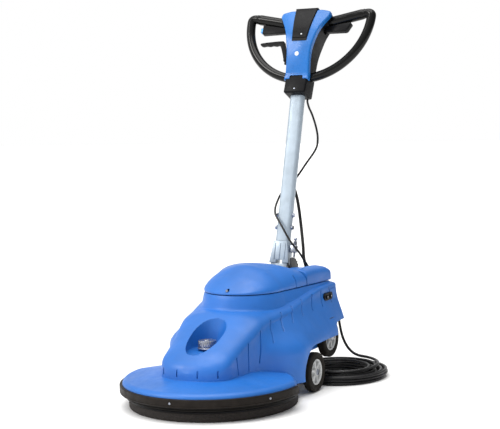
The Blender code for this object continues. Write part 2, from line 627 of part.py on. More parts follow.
def body_holes():
    shapes = [cylinder(0.0065, 0.10, 0.24, 24, "Z", (0.0, KNOB_Y, 0.0))]
    for side in (-1, 1):
        low, high = sorted((side * 0.160, side * 0.200))
        shapes.append(cylinder(AXLE_R + 0.0015, low, high, 16, "X", (0.0, MAIN_Y, MAIN_Z)))
        shapes.append(cylinder(AXLE_R + 0.0015, low, high, 16, "X", (0.0, TRANSPORT_Y, TRANSPORT_Z)))
    shapes.append(box((-0.0485, NOTCH_FRONT_Y - 0.012, 0.1895), (0.0485, NOTCH_FRONT_Y + 0.005, 0.1970)))
    shapes.append(cylinder(0.0085, HOOD_REAR - 0.03, HOOD_REAR + 0.02, 24, "Y", (GLAND_X, 0.0, GLAND_Z)))
    shapes.append(breaker_oval(0.165, 0.260, GAP))
    return merged(*shapes)


def breaker_oval(low, high, grow=0.0):
    """Bar of the bezel's long oval section along X."""
    radius = BREAKER_HIGH / 2 + grow
    reach = BREAKER_LONG / 2 - BREAKER_HIGH / 2
    outline = []
    for end, start in ((1, -90), (-1, 90)):
        for k in range(9):
            a = math.radians(start + 180 * k / 8)
            outline.append((BREAKER_Y + end * reach + radius * math.cos(a),
                            BREAKER_Z + radius * math.sin(a)))
    return prism(outline, low, high)


def build_breakers():
    """Oval bezel through the left flank with two reset buttons."""
    bezel = to_object("breaker_bezel", breaker_oval(0.1760, 0.1925), MAT["black"])
    spots = [BREAKER_Y + side * BREAKER_PITCH / 2 for side in (-1, 1)]
    bores = [cylinder(BREAKER_BUTTON_R + GAP, 0.1780, 0.2000, 20, "X", (0.0, y, BREAKER_Z)) for y in spots]
    boolean(bezel, cutter("breaker_bores", merged(*bores)))
    for index, y in enumerate(spots):
        button = cylinder(BREAKER_BUTTON_R, 0.1825, 0.1965, 20, "X", (0.0, y, BREAKER_Z), 0.0012)
        to_object(f"breaker_button_{index + 1}", button, MAT["black"], (0.1825, y, BREAKER_Z))


def build_lids():
    dome = to_object("motor_cover", lid_shape(LID_FRONT_Y, LID_SPLIT_Y - LID_SPLIT_GAP, 12), MAT["blue"],
                     smooth=50.0)
    boolean(dome, cutter("motor_cover_hollow",
                         lid_cavity(LID_FRONT_Y, LID_SPLIT_Y - LID_SPLIT_GAP - LID_WALL, 8)))
    slots = []
    for side in (-1, 1):
        x = side * (lid_half(LID_SLOT_Y) - 0.012)
        slots.append(box((x - 0.012, LID_SLOT_Y - 0.0018, LID_LOW - 0.005),
                         (x + 0.014, LID_SLOT_Y + 0.0018, LID_LOW + 0.040)))
    boolean(dome, cutter("motor_cover_slots", merged(*slots)))
    boolean(dome, cutter("motor_cover_screw_seat",
                         cylinder(0.0048, LID_FRONT_Y - 0.02, LID_FRONT_Y + 0.030, 20, "Y",
                                  (0.0, 0.0, LID_LOW + 0.0135))))
    rear = to_object("rear_cover", lid_shape(LID_SPLIT_Y, LID_REAR_Y, 5), MAT["blue"], smooth=50.0)
    boolean(rear, cutter("rear_cover_hollow", lid_cavity(LID_SPLIT_Y + LID_WALL, LID_REAR_Y - LID_WALL, 4)))
    boolean(rear, cutter("rear_cover_notch",
                         box((-NOTCH_HALF, NOTCH_FRONT_Y - 0.006, 0.28), (NOTCH_HALF, 0.60, 0.42))))


def arc_ring(inner, outer, low, high, reach, bevel=0.0, segments=48):
    """Ring round the pad's axis, open at the back where the body's flanks begin."""
    start = math.radians(-180.0 - reach)
    end = math.radians(reach)
    if bevel:
        profile = [(inner, low), (outer - bevel, low), (outer, low + bevel), (outer, high - bevel),
                   (outer - bevel, high),
                   (inner, high)]
    else:
        profile = [(inner, low), (outer, low), (outer, high), (inner, high)]
    rings = []
    for k in range(segments + 1):
        a = start + (end - start) * k / segments
        rings.append([(r * math.cos(a), r * math.sin(a), z) for r, z in profile])
    return loft(rings)


def build_deck():
    bumper = to_object("bumper_ring",
                       arc_ring(BUMPER_IN_R, BUMPER_OUT_R, BUMPER_LOW, BUMPER_TOP, BUMPER_END_DEG, 0.002), MAT["rubber"])
    seats = [cylinder(0.0042, 0.0, 0.03, 16) for _ in BUMPER_SCREW_DEG]
    for seat, place in zip(seats, bumper_screw_places()):
        turn = place.to_track_quat("Z", "Y").to_matrix().to_4x4()
        spot = place * (BUMPER_OUT_R - 0.003) + Vector((0.0, 0.0, (BUMPER_LOW + BUMPER_TOP) / 2))
        bmesh.ops.transform(seat, matrix=Matrix.Translation(spot) @ turn, verts=seat.verts)
    boolean(bumper, cutter("bumper_seats", merged(*seats)))
    for index, place in enumerate(bumper_screw_places()):
        screw = cylinder(0.0038, 0.0, 0.0022, 16, bevel=0.0006)
        turn = place.to_track_quat("Z", "Y").to_matrix().to_4x4()
        spot = place * (BUMPER_OUT_R - 0.0027) + Vector((0.0, 0.0, (BUMPER_LOW + BUMPER_TOP) / 2))
        bmesh.ops.transform(screw, matrix=Matrix.Translation(spot) @ turn, verts=screw.verts)
        to_object(f"bumper_screw_{index + 1}", screw, MAT["steel"])
    to_object("dust_skirt", arc_ring(SKIRT_IN_R, SKIRT_OUT_R, SKIRT_LOW, SKIRT_TOP, SKIRT_END_DEG), MAT["rubber"])

    plate = to_object("chassis_plate",
                      turned([(0.048, PLATE_LOW), (PLATE_R, PLATE_LOW), (PLATE_R, PLATE_TOP),
                                               (0.048, PLATE_TOP)], 48), MAT["aluminium"])
    sides = [box((0.1717, -0.020, 0.0), (0.30, 0.30, 0.2)), box((-0.30, -0.020, 0.0), (-0.1717, 0.30, 0.2)),
             box((-0.17, 0.262, 0.0), (0.17, 0.31, 0.2))]
    boolean(plate, cutter("plate_sides", merged(*sides)))
    boolean(plate, cutter("plate_motor_hole",
                          cylinder(0.020, 0.05, 0.08, 32, "Z", (0.0, MOTOR_Y - 0.04, 0.0))))


def build_pad():
    pivot = (0.0, 0.0, 0.0)
    to_object("polishing_pad",
              turned([(PAD_HOLE_R, 0.0), (PAD_R - 0.004, 0.0), (PAD_R, 0.004), (PAD_R, PAD_H - 0.002),
                                       (PAD_R - 0.002, PAD_H), (PAD_HOLE_R, PAD_H)], 48), MAT["pad"], pivot)
    low = PAD_H + GAP
    to_object("pad_driver", turned([(0.034, low), (DRIVER_R, low), (DRIVER_R, low + 0.005),
                                    (DRIVER_R - 0.010, DRIVER_TOP), (0.060, DRIVER_TOP), (0.048, 0.0535),
                                    (0.0258, 0.0535), (0.0258, 0.0475),
                                    (0.034, 0.0475)], 44), MAT["black"], pivot)
    to_object("pad_spindle", tube(0.0255, 0.0200, 0.0478, PULLEY_Z + PULLEY_H / 2 + 0.005, 24),
              MAT["steel"], pivot)
    to_object("spindle_pulley", pulley(SPINDLE_PULLEY_R, 0.0258), MAT["aluminium"], pivot)
    to_object("bearing_housing",
              turned([(0.0264, 0.0545), (0.0475, 0.0545), (0.0475, PLATE_TOP + GAP),
                      (0.056, PLATE_TOP + GAP),
                                         (0.056, 0.072), (0.034, 0.0765), (0.0264, 0.0765)], 24),
                                         MAT["aluminium"])


def pulley(radius, bore):
    low, high = PULLEY_Z - PULLEY_H / 2, PULLEY_Z + PULLEY_H / 2
    lip = 0.003
    return turned([(bore, low), (radius + lip, low), (radius + lip, low + 0.0015), (radius, low + 0.0025),
                   (radius, high - 0.0025), (radius + lip, high - 0.0015), (radius + lip, high),
                   (bore, high)], 24)


def build_motor():
    spin = (0.0, MOTOR_Y, 0.0)
    body = turned([(0.0086, MOTOR_LOW), (MOTOR_R - 0.012, MOTOR_LOW), (MOTOR_R - 0.004, MOTOR_LOW + 0.010),
                   (MOTOR_R, MOTOR_LOW + 0.012), (MOTOR_R, MOTOR_TOP - 0.050),
                   (MOTOR_R - 0.006, MOTOR_TOP - 0.046),
                   (MOTOR_R - 0.010, MOTOR_TOP - 0.008), (MOTOR_R - 0.022, MOTOR_TOP), (0.0, MOTOR_TOP),
                   (0.0, MOTOR_LOW + 0.040), (0.0086, MOTOR_LOW + 0.040)], 24, "Z", spin)
    to_object("motor_body", body, MAT["motor"])
    to_object("motor_shaft", cylinder(0.0080, 0.074, MOTOR_LOW + 0.036, 20, "Z", spin, 0.001), MAT["steel"],
              spin)
    wheel = pulley(MOTOR_PULLEY_R, 0.0083)
    bmesh.ops.translate(wheel, verts=wheel.verts, vec=spin)
    to_object("motor_pulley", wheel, MAT["aluminium"], spin)
    belt = []
    for grow in (0.0006, 0.0006 + BELT_T):
        belt.append(belt_outline(SPINDLE_PULLEY_R + grow, MOTOR_PULLEY_R + grow))
    low, high = PULLEY_Z - 0.0055, PULLEY_Z + 0.0055
    rings = [[(x, y, low) for x, y in belt[0]], [(x, y, low) for x, y in belt[1]],
             [(x, y, high) for x, y in belt[1]], [(x, y, high) for x, y in belt[0]]]
    to_object("drive_belt", loft(rings, closed=True), MAT["rubber"])


def belt_outline(front_r, back_r, steps=14):
    """Two round ends joined by tangents, round the spindle pulley and the motor pulley."""
    lean = math.asin((front_r - back_r) / MOTOR_Y)
    points = []
    for k in range(steps + 1):
        a = math.pi + (-lean) + (math.pi + 2 * lean) * k / steps
        points.append((front_r * math.cos(a), front_r * math.sin(a)))
    for k in range(steps + 1):
        a = lean + (math.pi - 2 * lean) * k / steps
        points.append((back_r * math.cos(a), MOTOR_Y + back_r * math.sin(a)))
    return points


def build_adjuster():
    """Knob with its screw, and the yoke that it lifts: a post with a small caster in the middle of the pad."""
    origin = (0.0, KNOB_Y, KNOB_Z)
    ridges = 16
    outline = []
    for k in range(ridges * 2):
        a = math.pi * k / ridges
        r = KNOB_R - (0.0 if k % 2 else 0.0012)
        outline.append((r * math.cos(a), KNOB_Y + r * math.sin(a)))
    grip = prism(outline, KNOB_Z - 0.004, KNOB_Z + KNOB_H - 0.010, "XY")
    knob = to_object("adjuster_knob", grip, MAT["chrome"], origin)
    cap = turned([(0.0, KNOB_Z + 0.004), (KNOB_R - 0.002, KNOB_Z + 0.004),
                  (KNOB_R - 0.002, KNOB_Z + KNOB_H - 0.008),
                  (KNOB_R - 0.006, KNOB_Z + KNOB_H - 0.005), (0.0, KNOB_Z + KNOB_H - 0.004)], 24, "Z",
                  (0.0, KNOB_Y, 0.0))
    boolean(knob, cutter("knob_cap", cap), "UNION")
    flange = turned([(0.0, KNOB_Z - 0.0105), (KNOB_R + 0.001, KNOB_Z - 0.0105),
                     (KNOB_R + 0.002, KNOB_Z - 0.009),
                     (KNOB_R + 0.001, KNOB_Z - 0.0065), (KNOB_R - 0.003, KNOB_Z - 0.003),
                     (0.0, KNOB_Z - 0.002)], 24, "Z",
                    (0.0, KNOB_Y, 0.0))
    boolean(knob, cutter("knob_flange", flange), "UNION")
    stem = cylinder(0.0055, 0.110, KNOB_Z - 0.008, 20, "Z", (0.0, KNOB_Y, 0.0))
    boolean(knob, cutter("knob_stem", stem), "UNION")

    axis = (0.0, 0.0, 0.0)
    yoke = box((-0.016, KNOB_Y - 0.016, 0.124), (0.016, 0.016, 0.134), 0.003)
    arm = to_object("lift_yoke", yoke, MAT["steel"], axis)
    boolean(arm, cutter("lift_post", cylinder(0.0100, 0.046, 0.1345, 20)), "UNION")
    boolean(arm, cutter("lift_post_bore", cylinder(0.0053, 0.03, 0.16, 20)))
    boolean(arm, cutter("lift_screw_bore", cylinder(0.0058, 0.10, 0.16, 20, "Z", (0.0, KNOB_Y, 0.0))))
    fork = box((-0.0155, -0.010, 0.0415), (0.0155, 0.022, 0.0455), 0.001)
    fork_obj = to_object("caster_fork", fork, MAT["steel"], axis)
    for index, x in enumerate((-0.0155, 0.0130)):
        leg = prism([(-0.010, 0.044), (0.022, 0.044), (0.022, 0.018), (0.016, 0.010), (0.008, 0.010),
                     (-0.002, 0.020)],
                    x, x + 0.0025)
        boolean(fork_obj, cutter(f"caster_leg_{index + 1}", leg), "UNION")
    boolean(fork_obj, cutter("caster_stem", cylinder(0.0050, 0.044, 0.120, 20)), "UNION")
    boolean(fork_obj, cutter("caster_axle",
                             cylinder(0.0027, -0.0175, 0.0175, 16, "X", (0.0, CASTER_Y, CASTER_Z))), "UNION")
    wheel = turned([(0.0030, -0.0105), (CASTER_R - 0.002, -0.0105), (CASTER_R, -0.008), (CASTER_R, 0.008),
                    (CASTER_R - 0.002, 0.0105), (0.0030, 0.0105)], 20, "X", (0.0, CASTER_Y, CASTER_Z))
    to_object("caster_wheel", wheel, MAT["rubber"], (0.0, CASTER_Y, CASTER_Z))


def build_wheels():
    pairs = (("main", MAIN_X, MAIN_Y, MAIN_Z), ("transport", TRANSPORT_X, TRANSPORT_Y, TRANSPORT_Z))
    for pair, x, y, z in pairs:
        for side, sign in (("left", 1), ("right", -1)):
            build_wheel(f"{pair}_{side}", (sign * x, y, z), sign)


def build_wheel(name, centre, sign):
    half = WHEEL_W / 2
    tyre = turned([(RIM_R + GAP, -half + 0.003), (WHEEL_R - 0.008, -half),
                   (WHEEL_R, -half + 0.0075), (WHEEL_R, half - 0.0075),
                   (WHEEL_R - 0.008, half), (RIM_R + GAP, half - 0.003)], 24, "X", centre)
    to_object(f"{name}_tyre", tyre, MAT["rubber"], centre)
    rim = turned([(RIM_R - 0.006, -half + 0.005), (RIM_R, -half + 0.004), (RIM_R, half - 0.004),
                  (RIM_R - 0.006, half - 0.005)], 24, "X", centre)
    rim_obj = to_object(f"{name}_rim", rim, MAT["grey"], centre)
    hub = tube(0.0125, AXLE_R + GAP, -half + 0.002, half - 0.0015, 16, "X", centre)
    boolean(rim_obj, cutter(f"{name}_hub", hub), "UNION")
    spokes = []
    for k in range(6):
        spoke = box((-half + 0.006, -0.0035, 0.010), (half - 0.0045, 0.0035, RIM_R - 0.003))
        turn = Matrix.Translation(centre) @ Matrix.Rotation(math.radians(60 * k + 15), 4, "X")
        bmesh.ops.transform(spoke, matrix=turn, verts=spoke.verts)
        spokes.append(spoke)
    boolean(rim_obj, cutter(f"{name}_spokes", merged(*spokes)), "UNION")


def build_chassis():
    """Welded frame: a plate inside each flank, a beam between them and the tower that carries the handle's hinge."""
    outline = [(0.156, 0.0600), (0.262, 0.0600), (0.275, 0.100), (0.300, 0.116), (0.429, 0.116),
               (0.429, 0.1985),
               (0.260, 0.1985), (0.206, 0.1600), (0.156, 0.1300)]
    lug = [(MAIN_Y - 0.020, 0.072), (MAIN_Y + 0.020, 0.072), (MAIN_Y + 0.014, 0.046),
           (MAIN_Y - 0.014, 0.046)]
    frame = to_object("chassis_frame",
                      box((-SIDE_PLATE_X - 0.001, 0.362, 0.190), (SIDE_PLATE_X + 0.001, 0.4310, 0.1965)),
                      MAT["steel"])
    boolean(frame, cutter("frame_tongue", box((-0.048, 0.425, 0.190), (0.048, 0.520, 0.1965))), "UNION")
    boolean(frame, cutter("hinge_tower",
                          box((-CHEEK_X - CHEEK_T, 0.452, 0.193), (CHEEK_X + CHEEK_T, 0.515, 0.320))),
                          "UNION")
    for side, sign in (("left", 1), ("right", -1)):
        low, high = sorted((sign * SIDE_PLATE_X, sign * (SIDE_PLATE_X + SIDE_PLATE_T)))
        boolean(frame, cutter(f"side_plate_{side}", prism(outline, low, high)), "UNION")
        boolean(frame, cutter(f"side_lug_{side}", prism(lug, low, high)), "UNION")
        holes = [cylinder(AXLE_R + GAP, low - 0.01, high + 0.01, 20, "X", (0.0, y, z))
                 for y, z in ((MAIN_Y, MAIN_Z), (TRANSPORT_Y, TRANSPORT_Z))]
        boolean(frame, cutter(f"side_holes_{side}", merged(*holes)))
        ear = [(0.462, 0.30), (0.508, 0.30), (0.508, PIVOT_Z + 0.004), (0.498, PIVOT_Z + 0.019),
               (0.472, PIVOT_Z + 0.019), (0.462, PIVOT_Z + 0.004)]
        low, high = sorted((sign * CHEEK_X, sign * (CHEEK_X + CHEEK_T)))
        boolean(frame, cutter(f"hinge_ear_{side}", prism(ear, low, high)), "UNION")
        start, end = sorted((sign * (SIDE_PLATE_X - 0.010), sign * (MAIN_X + WHEEL_W / 2 + 0.001)))
        to_object(f"main_axle_{side}", cylinder(AXLE_R, start, end, 20, "X", (0.0, MAIN_Y, MAIN_Z), 0.001),
                  MAT["steel"])
    boolean(frame, cutter("hinge_gap", box((-CHEEK_X, 0.40, PIVOT_Z - 0.027), (CHEEK_X, 0.60, 0.42))))
    boolean(frame, cutter("hinge_hollow", box((-CHEEK_X, 0.458, 0.200), (CHEEK_X, 0.60, PIVOT_Z - 0.033))))
    boolean(frame, cutter("sector_foot",
                          box((CHEEK_X + CHEEK_T - 0.001, 0.463, 0.285), (LATCH_X, 0.507, 0.312))), "UNION")
    boolean(frame, cutter("latch_sector", latch_sector()), "UNION")
    boolean(frame, cutter("hinge_bore",
                          cylinder(PIN_R + GAP, -0.08, 0.0415, 20, "X", (0.0, PIVOT_Y, PIVOT_Z))))
    pin = cylinder(PIN_R, -CHEEK_X - CHEEK_T - 0.004, CHEEK_X + CHEEK_T + 0.004, 20, "X",
                   (0.0, PIVOT_Y, PIVOT_Z), 0.001)
    to_object("hinge_pin", pin, MAT["chrome"])
    reach = TRANSPORT_X + WHEEL_W / 2 + 0.001
    to_object("transport_axle",
              cylinder(AXLE_R, -reach, reach, 20, "X", (0.0, TRANSPORT_Y, TRANSPORT_Z), 0.001),
              MAT["steel"])


def latch_sector():
    """Notched plate round the hinge, for the latch plunger."""
    outline = []
    for index, lean in enumerate(range(SECTOR_START_DEG, SECTOR_END_DEG + 1, SECTOR_STEP_DEG)):
        radius = SECTOR_R - (0.005 if index % 4 in (2, 3) else 0.0)
        a = math.radians(lean)
        outline.append((PIVOT_Y + radius * math.sin(a), PIVOT_Z + radius * math.cos(a)))
    outline += [(PIVOT_Y + 0.022, 0.287), (PIVOT_Y - 0.022, 0.287)]
    return prism(outline, LATCH_X - SECTOR_T / 2, LATCH_X + SECTOR_T / 2)


def build_column():
    """Parts below hang on the column's own frame: Z along the tube, -Y to the front, origin on the hinge."""
    frame = empty("column_frame", (0.0, PIVOT_Y, PIVOT_Z), -COLUMN_TILT, MACHINE)
    foot_half = CHEEK_X - 0.001
    foot = prism([(-0.0165, -0.006), (-0.0125, -0.016), (0.0, -0.021), (0.0125, -0.016), (0.0165, -0.006),
                  (0.0165, 0.060),
                  (0.0060, 0.098), (0.0060, 0.205), (-0.0060, 0.205), (-0.0060, 0.098), (-0.0165, 0.060)],
                 -foot_half, foot_half)
    foot_obj = to_object("column_foot", foot, MAT["chrome"], parent=frame)
    sides = [prism([(-0.03, 0.085), (0.03, 0.085), (0.03, 0.23), (-0.03, 0.23)],
                   *sorted((s * 0.0195, s * 0.04)))
             for s in (-1, 1)]
    boolean(foot_obj, cutter("foot_shoulders", merged(*sides), frame))
    boolean(foot_obj, cutter("foot_bore", cylinder(PIN_R + GAP, -0.05, 0.05, 20, "X"), frame))
    boolean(foot_obj, cutter("foot_window", box((-0.012, -0.03, 0.022), (0.012, 0.03, 0.080), 0.005), frame))
    boolean(foot_obj, cutter("foot_bolt_holes",
                             merged(*[cylinder(0.0044, -0.04, 0.04, 12, "X", (0.0, 0.0, s))
                                                         for s in BOLTS_AT]), frame))
    tube_obj = to_object("column_tube", oval_prism(TUBE_W, TUBE_D, TUBE_START, TUBE_END), MAT["silver"],
                         parent=frame)
    boolean(tube_obj, cutter("column_tube_bore", oval_prism(TUBE_W - 2 * TUBE_WALL, TUBE_D - 2 * TUBE_WALL,
                                                            TUBE_START - 0.02, TUBE_END + 0.02), frame))
    boolean(tube_obj, cutter("tube_bolt_holes",
                             merged(*[cylinder(0.0044, -0.04, 0.04, 12, "X", (0.0, 0.0, s))
                                                         for s in BOLTS_AT]), frame))
    for index, at in enumerate(BOLTS_AT):
        bolt = turned([(0.0, -TUBE_W / 2 - 0.006), (0.0062, -TUBE_W / 2 - 0.006),
                       (0.0068, -TUBE_W / 2 - 0.0045),
                       (0.0068, -TUBE_W / 2 - GAP), (0.0040, -TUBE_W / 2 - GAP), (0.0040, TUBE_W / 2 + GAP),
                       (0.0068, TUBE_W / 2 + GAP), (0.0068, TUBE_W / 2 + 0.0045),
                       (0.0062, TUBE_W / 2 + 0.006),
                       (0.0, TUBE_W / 2 + 0.006)], 12, "X", (0.0, 0.0, at))
        to_object(f"column_bolt_{index + 1}", bolt, MAT["chrome"], parent=frame)
    side = CHEEK_X - 0.001 + GAP
    guide = to_object("latch_guide", box((side, -0.0085, 0.062), (LATCH_X + 0.008, 0.0085, 0.086), 0.0015),
                      MAT["chrome"],
                      parent=frame)
    boolean(guide, cutter("latch_guide_bore",
                          cylinder(PLUNGER_R + GAP, 0.04, 0.12, 24, "Z", (LATCH_X, 0.0, 0.0)), frame))
    plunger = turned([(0.0, SECTOR_R + 0.001), (PLUNGER_R - 0.001, SECTOR_R + 0.001),
                      (PLUNGER_R, SECTOR_R + 0.002),
                      (PLUNGER_R, 0.104), (0.0062, 0.104), (0.0062, 0.111), (0.0, 0.111)], 24, "Z",
                      (LATCH_X, 0.0, 0.0))
    to_object("lock_plunger", plunger, MAT["chrome"], (LATCH_X, 0.0, 0.08), frame)
    return frame


def oval_prism(width, depth, low, high, steps=3):
    """Straight tube of flat oval section: rounded corners on a rectangle."""
    radius = depth * 0.42
    outline = []
    for cx, cy, start in ((1, 1, 0), (-1, 1, 90), (-1, -1, 180), (1, -1, 270)):
        for k in range(steps + 1):
            a = math.radians(start + 90 * k / steps)
            outline.append((cx * (width / 2 - radius) + radius * math.cos(a),
                            cy * (depth / 2 - radius) + radius * math.sin(a)))
    return prism(outline, low, high, "XY")


def loop_path(steps=26):
    """Centre line of the handle: half circle below, then both grips meeting in a shallow V."""
    points = []
    for k in range(steps + 1):
        a = math.pi + math.pi * k / steps
        points.append((LOOP_R * math.cos(a), LOOP_TOP + LOOP_R * math.sin(a)))
    corner = [(LOOP_R - 0.001, LOOP_TOP + 0.006), (LOOP_R - 0.005, LOOP_TOP + 0.0105),
              (LOOP_R - 0.012, GRIP_OUT_Z - 0.0015)]
    grip = [(LOOP_R - 0.024 - (LOOP_R - 0.024 - GRIP_IN_X) * k / 2,
             GRIP_OUT_Z - 0.003 - (GRIP_OUT_Z - 0.003 - GRIP_IN_Z) * k / 2) for k in range(3)]
    right = corner + grip
    points += right + [(0.0, GRIP_IN_Z - 0.004)] + [(-x, z) for x, z in reversed(right)]
    return points


def swept(points, radius, sides=10):
    """Round bar along a closed path in the head's XZ plane."""
    rings = []
    count = len(points)
    for k in range(count):
        (xa, za), (xb, zb) = points[k - 1], points[(k + 1) % count]
        along = Vector((xb - xa, 0.0, zb - za)).normalized()
        side = Vector((0.0, 1.0, 0.0))
        out = along.cross(side)
        centre = Vector((points[k][0], 0.0, points[k][1]))
        rings.append([centre + radius * (math.cos(a) * out + math.sin(a) * side)
                      for a in (2 * math.pi * s / sides for s in range(sides))])
    return loft(rings, closed=True)


def head_prism(front, back, low, grow=0.0):
    """Vest-shaped block between two depths; grow moves its outline out or in."""
    right = [(x + grow, z) for x, z in COVER_OUTLINE]
    right[0] = (right[0][0], low)
    right = right[:-1] + [(right[-1][0], right[-1][1] + grow)]
    return prism(mirrored(right), -front, -back, "XZ")


def build_head(column):
    head = empty("head_frame", (0.0, 0.0, COLLAR_AT), -(HEAD_TILT - COLUMN_TILT), column)
    path = loop_path()
    to_object("handle_loop", swept(path, TUBE_R), MAT["gloss_black"], parent=head, smooth=60.0)

    collar = to_object("head_collar",
                       box((-COLLAR_HALF, -COLLAR_FRONT, COLLAR_LOW),
                           (COLLAR_HALF, COLLAR_FRONT, COLLAR_TOP),
                                          0.004), MAT["black"], parent=head)
    housing = to_object("head_housing", head_prism(COVER_BACK - GAP, HOUSING_BACK, COLLAR_TOP + GAP, -0.003),
                        MAT["black"], parent=head)
    clear = swept(path, TUBE_R + GAP)
    boolean(housing, cutter("housing_loop_seat", clear, head))
    boolean(collar, cutter("collar_loop_seat", swept(path, TUBE_R + GAP), head))
    cover = to_object("front_cover", head_prism(COVER_FRONT, COVER_BACK, 0.030), MAT["blue"], parent=head)
    boolean(cover, cutter("cover_loop_seat", swept(path, TUBE_R + GAP), head))
    arch = prism([(-0.0275, 0.0), (0.0275, 0.0), (0.0235, 0.0445), (-0.0235, 0.0445)], -0.06, 0.0, "XZ")
    boolean(cover, cutter("cover_arch", arch, head))
    boolean(cover, cutter("cover_collar_seat", box((-COLLAR_HALF - GAP, -COLLAR_FRONT - GAP, -0.03),
                                                   (COLLAR_HALF + GAP, 0.05, COLLAR_TOP + GAP), 0.004),
                                                   head))
    insert = [(0.028, 0.180), (0.0415, 0.2955)]
    boolean(cover, cutter("cover_insert_seat",
                          prism(mirrored([(x + GAP, z) for x, z in insert]), -0.06, -0.0250, "XZ"), head))
    panel = prism(mirrored(insert), -COVER_FRONT - 0.004, -0.0250 - GAP, "XZ")
    to_object("cover_insert", panel, MAT["black"], parent=head)
    bore = oval_prism(TUBE_W + 2 * GAP, TUBE_D + 2 * GAP, -0.10, 0.026)
    tube_bore = cutter("collar_tube_bore", bore, head)
    tube_bore.rotation_euler = (HEAD_TILT - COLUMN_TILT, 0.0, 0.0)
    boolean(collar, tube_bore)

    slots = [box((s * 0.0690 - 0.010, -TRIGGER_HALF - 0.0005, 0.2145),
                 (s * 0.0690 + 0.012, TRIGGER_HALF + 0.0005, 0.2400))
             for s in (-1, 1)]
    boolean(housing, cutter("trigger_slots", merged(*slots), head))
    x, z = LEVER_PIVOT
    lug = box((x - 0.009, 0.0045, z - 0.011), (-0.035, 0.0115, z + 0.011), 0.002)
    boolean(housing, cutter("lever_lug", lug, head), "UNION")
    stud = cylinder(0.0035, -0.0085, 0.0080, 20, "Y", (x, 0.0, z))
    boolean(housing, cutter("lever_stud", stud, head), "UNION")
    build_levers(head)


def build_levers(head):
    x, z = TRIGGER_PIVOT
    left = to_object("trigger_left", prism(LEFT_TRIGGER, -TRIGGER_HALF, TRIGGER_HALF, "XZ"), MAT["black"],
                     (-x, 0.0, z), head)
    seat = box((-0.20, -BUTTON_HALF_Y - GAP, BUTTON_Z - BUTTON_HALF_Z - GAP),
               (BUTTON_SEAT_X, BUTTON_HALF_Y + GAP, BUTTON_Z + BUTTON_HALF_Z + GAP))
    boolean(left, cutter("button_seat", seat, head))
    to_object("trigger_right", prism(RIGHT_TRIGGER, -TRIGGER_HALF, TRIGGER_HALF, "XZ"), MAT["black"],
              (x, 0.0, z), head)
    button = box((BUTTON_OUT_X, -BUTTON_HALF_Y, BUTTON_Z - BUTTON_HALF_Z),
                 (BUTTON_IN_X, BUTTON_HALF_Y, BUTTON_Z + BUTTON_HALF_Z),
                 0.0015)
    to_object("safety_button", button, MAT["light_blue"], (BUTTON_IN_X, 0.0, BUTTON_Z), head)
    x, z = LEVER_PIVOT
    lever = to_object("release_lever", prism(RELEASE_LEVER, -0.0070, 0.0040, "XZ"), MAT["black"],
                      (x, 0.0, z), head)
    boolean(lever, cutter("release_lever_bore", cylinder(0.0038, -0.02, 0.02, 24, "Y", (x, 0.0, z)), head))


def curve_through(route, spacing):
    """Points at an even spacing on a Catmull-Rom curve through the route."""
    knots = [Vector(p) for p in route]
    knots = [2 * knots[0] - knots[1]] + knots + [2 * knots[-1] - knots[-2]]
    fine = []
    for a, b, c, d in zip(knots, knots[1:], knots[2:], knots[3:]):
        for k in range(24):
            t = k / 24
            fine.append(0.5 * (2 * b + (c - a) * t + (2 * a - 5 * b + 4 * c - d) * t * t
                               + (3 * b - a - 3 * c + d) * t ** 3))
    fine.append(knots[-2])
    total = sum((q - p).length for p, q in zip(fine, fine[1:]))
    count = max(round(total / spacing), 2)
    points, travelled, target = [fine[0]], 0.0, total / count
    for p, q in zip(fine, fine[1:]):
        step = (q - p).length
        while travelled + step >= target and len(points) < count:
            points.append(p.lerp(q, (target - travelled) / step))
            target += total / count
        travelled += step
    return points + [fine[-1]]


def cord(name, route, radius, spacing, mat, sides=2):
    """Round cord along a route, as a filled curve."""
    points = curve_through(route, spacing)
    curve = bpy.data.curves.new(name, "CURVE")
    curve.dimensions = "3D"
    curve.bevel_depth = radius
    curve.bevel_resolution = sides
    curve.use_fill_caps = True
    spline = curve.splines.new("POLY")
    spline.points.add(len(points) - 1)
    for spot, p in zip(spline.points, points):
        spot.co = (*p, 1.0)
    curve.materials.append(mat)
    obj = bpy.data.objects.new(name, curve)
    bpy.context.collection.objects.link(obj)
    obj.parent = MACHINE
    return obj


def build_leads():
    """Leads held at both ends, by the head and by the rear wall."""
    cord("control_cable", CONTROL_ROUTE, LEAD_R, 0.024, MAT["rubber"])
    cord("motor_cable", MOTOR_ROUTE, MOTOR_LEAD_R, 0.027, MAT["rubber"])


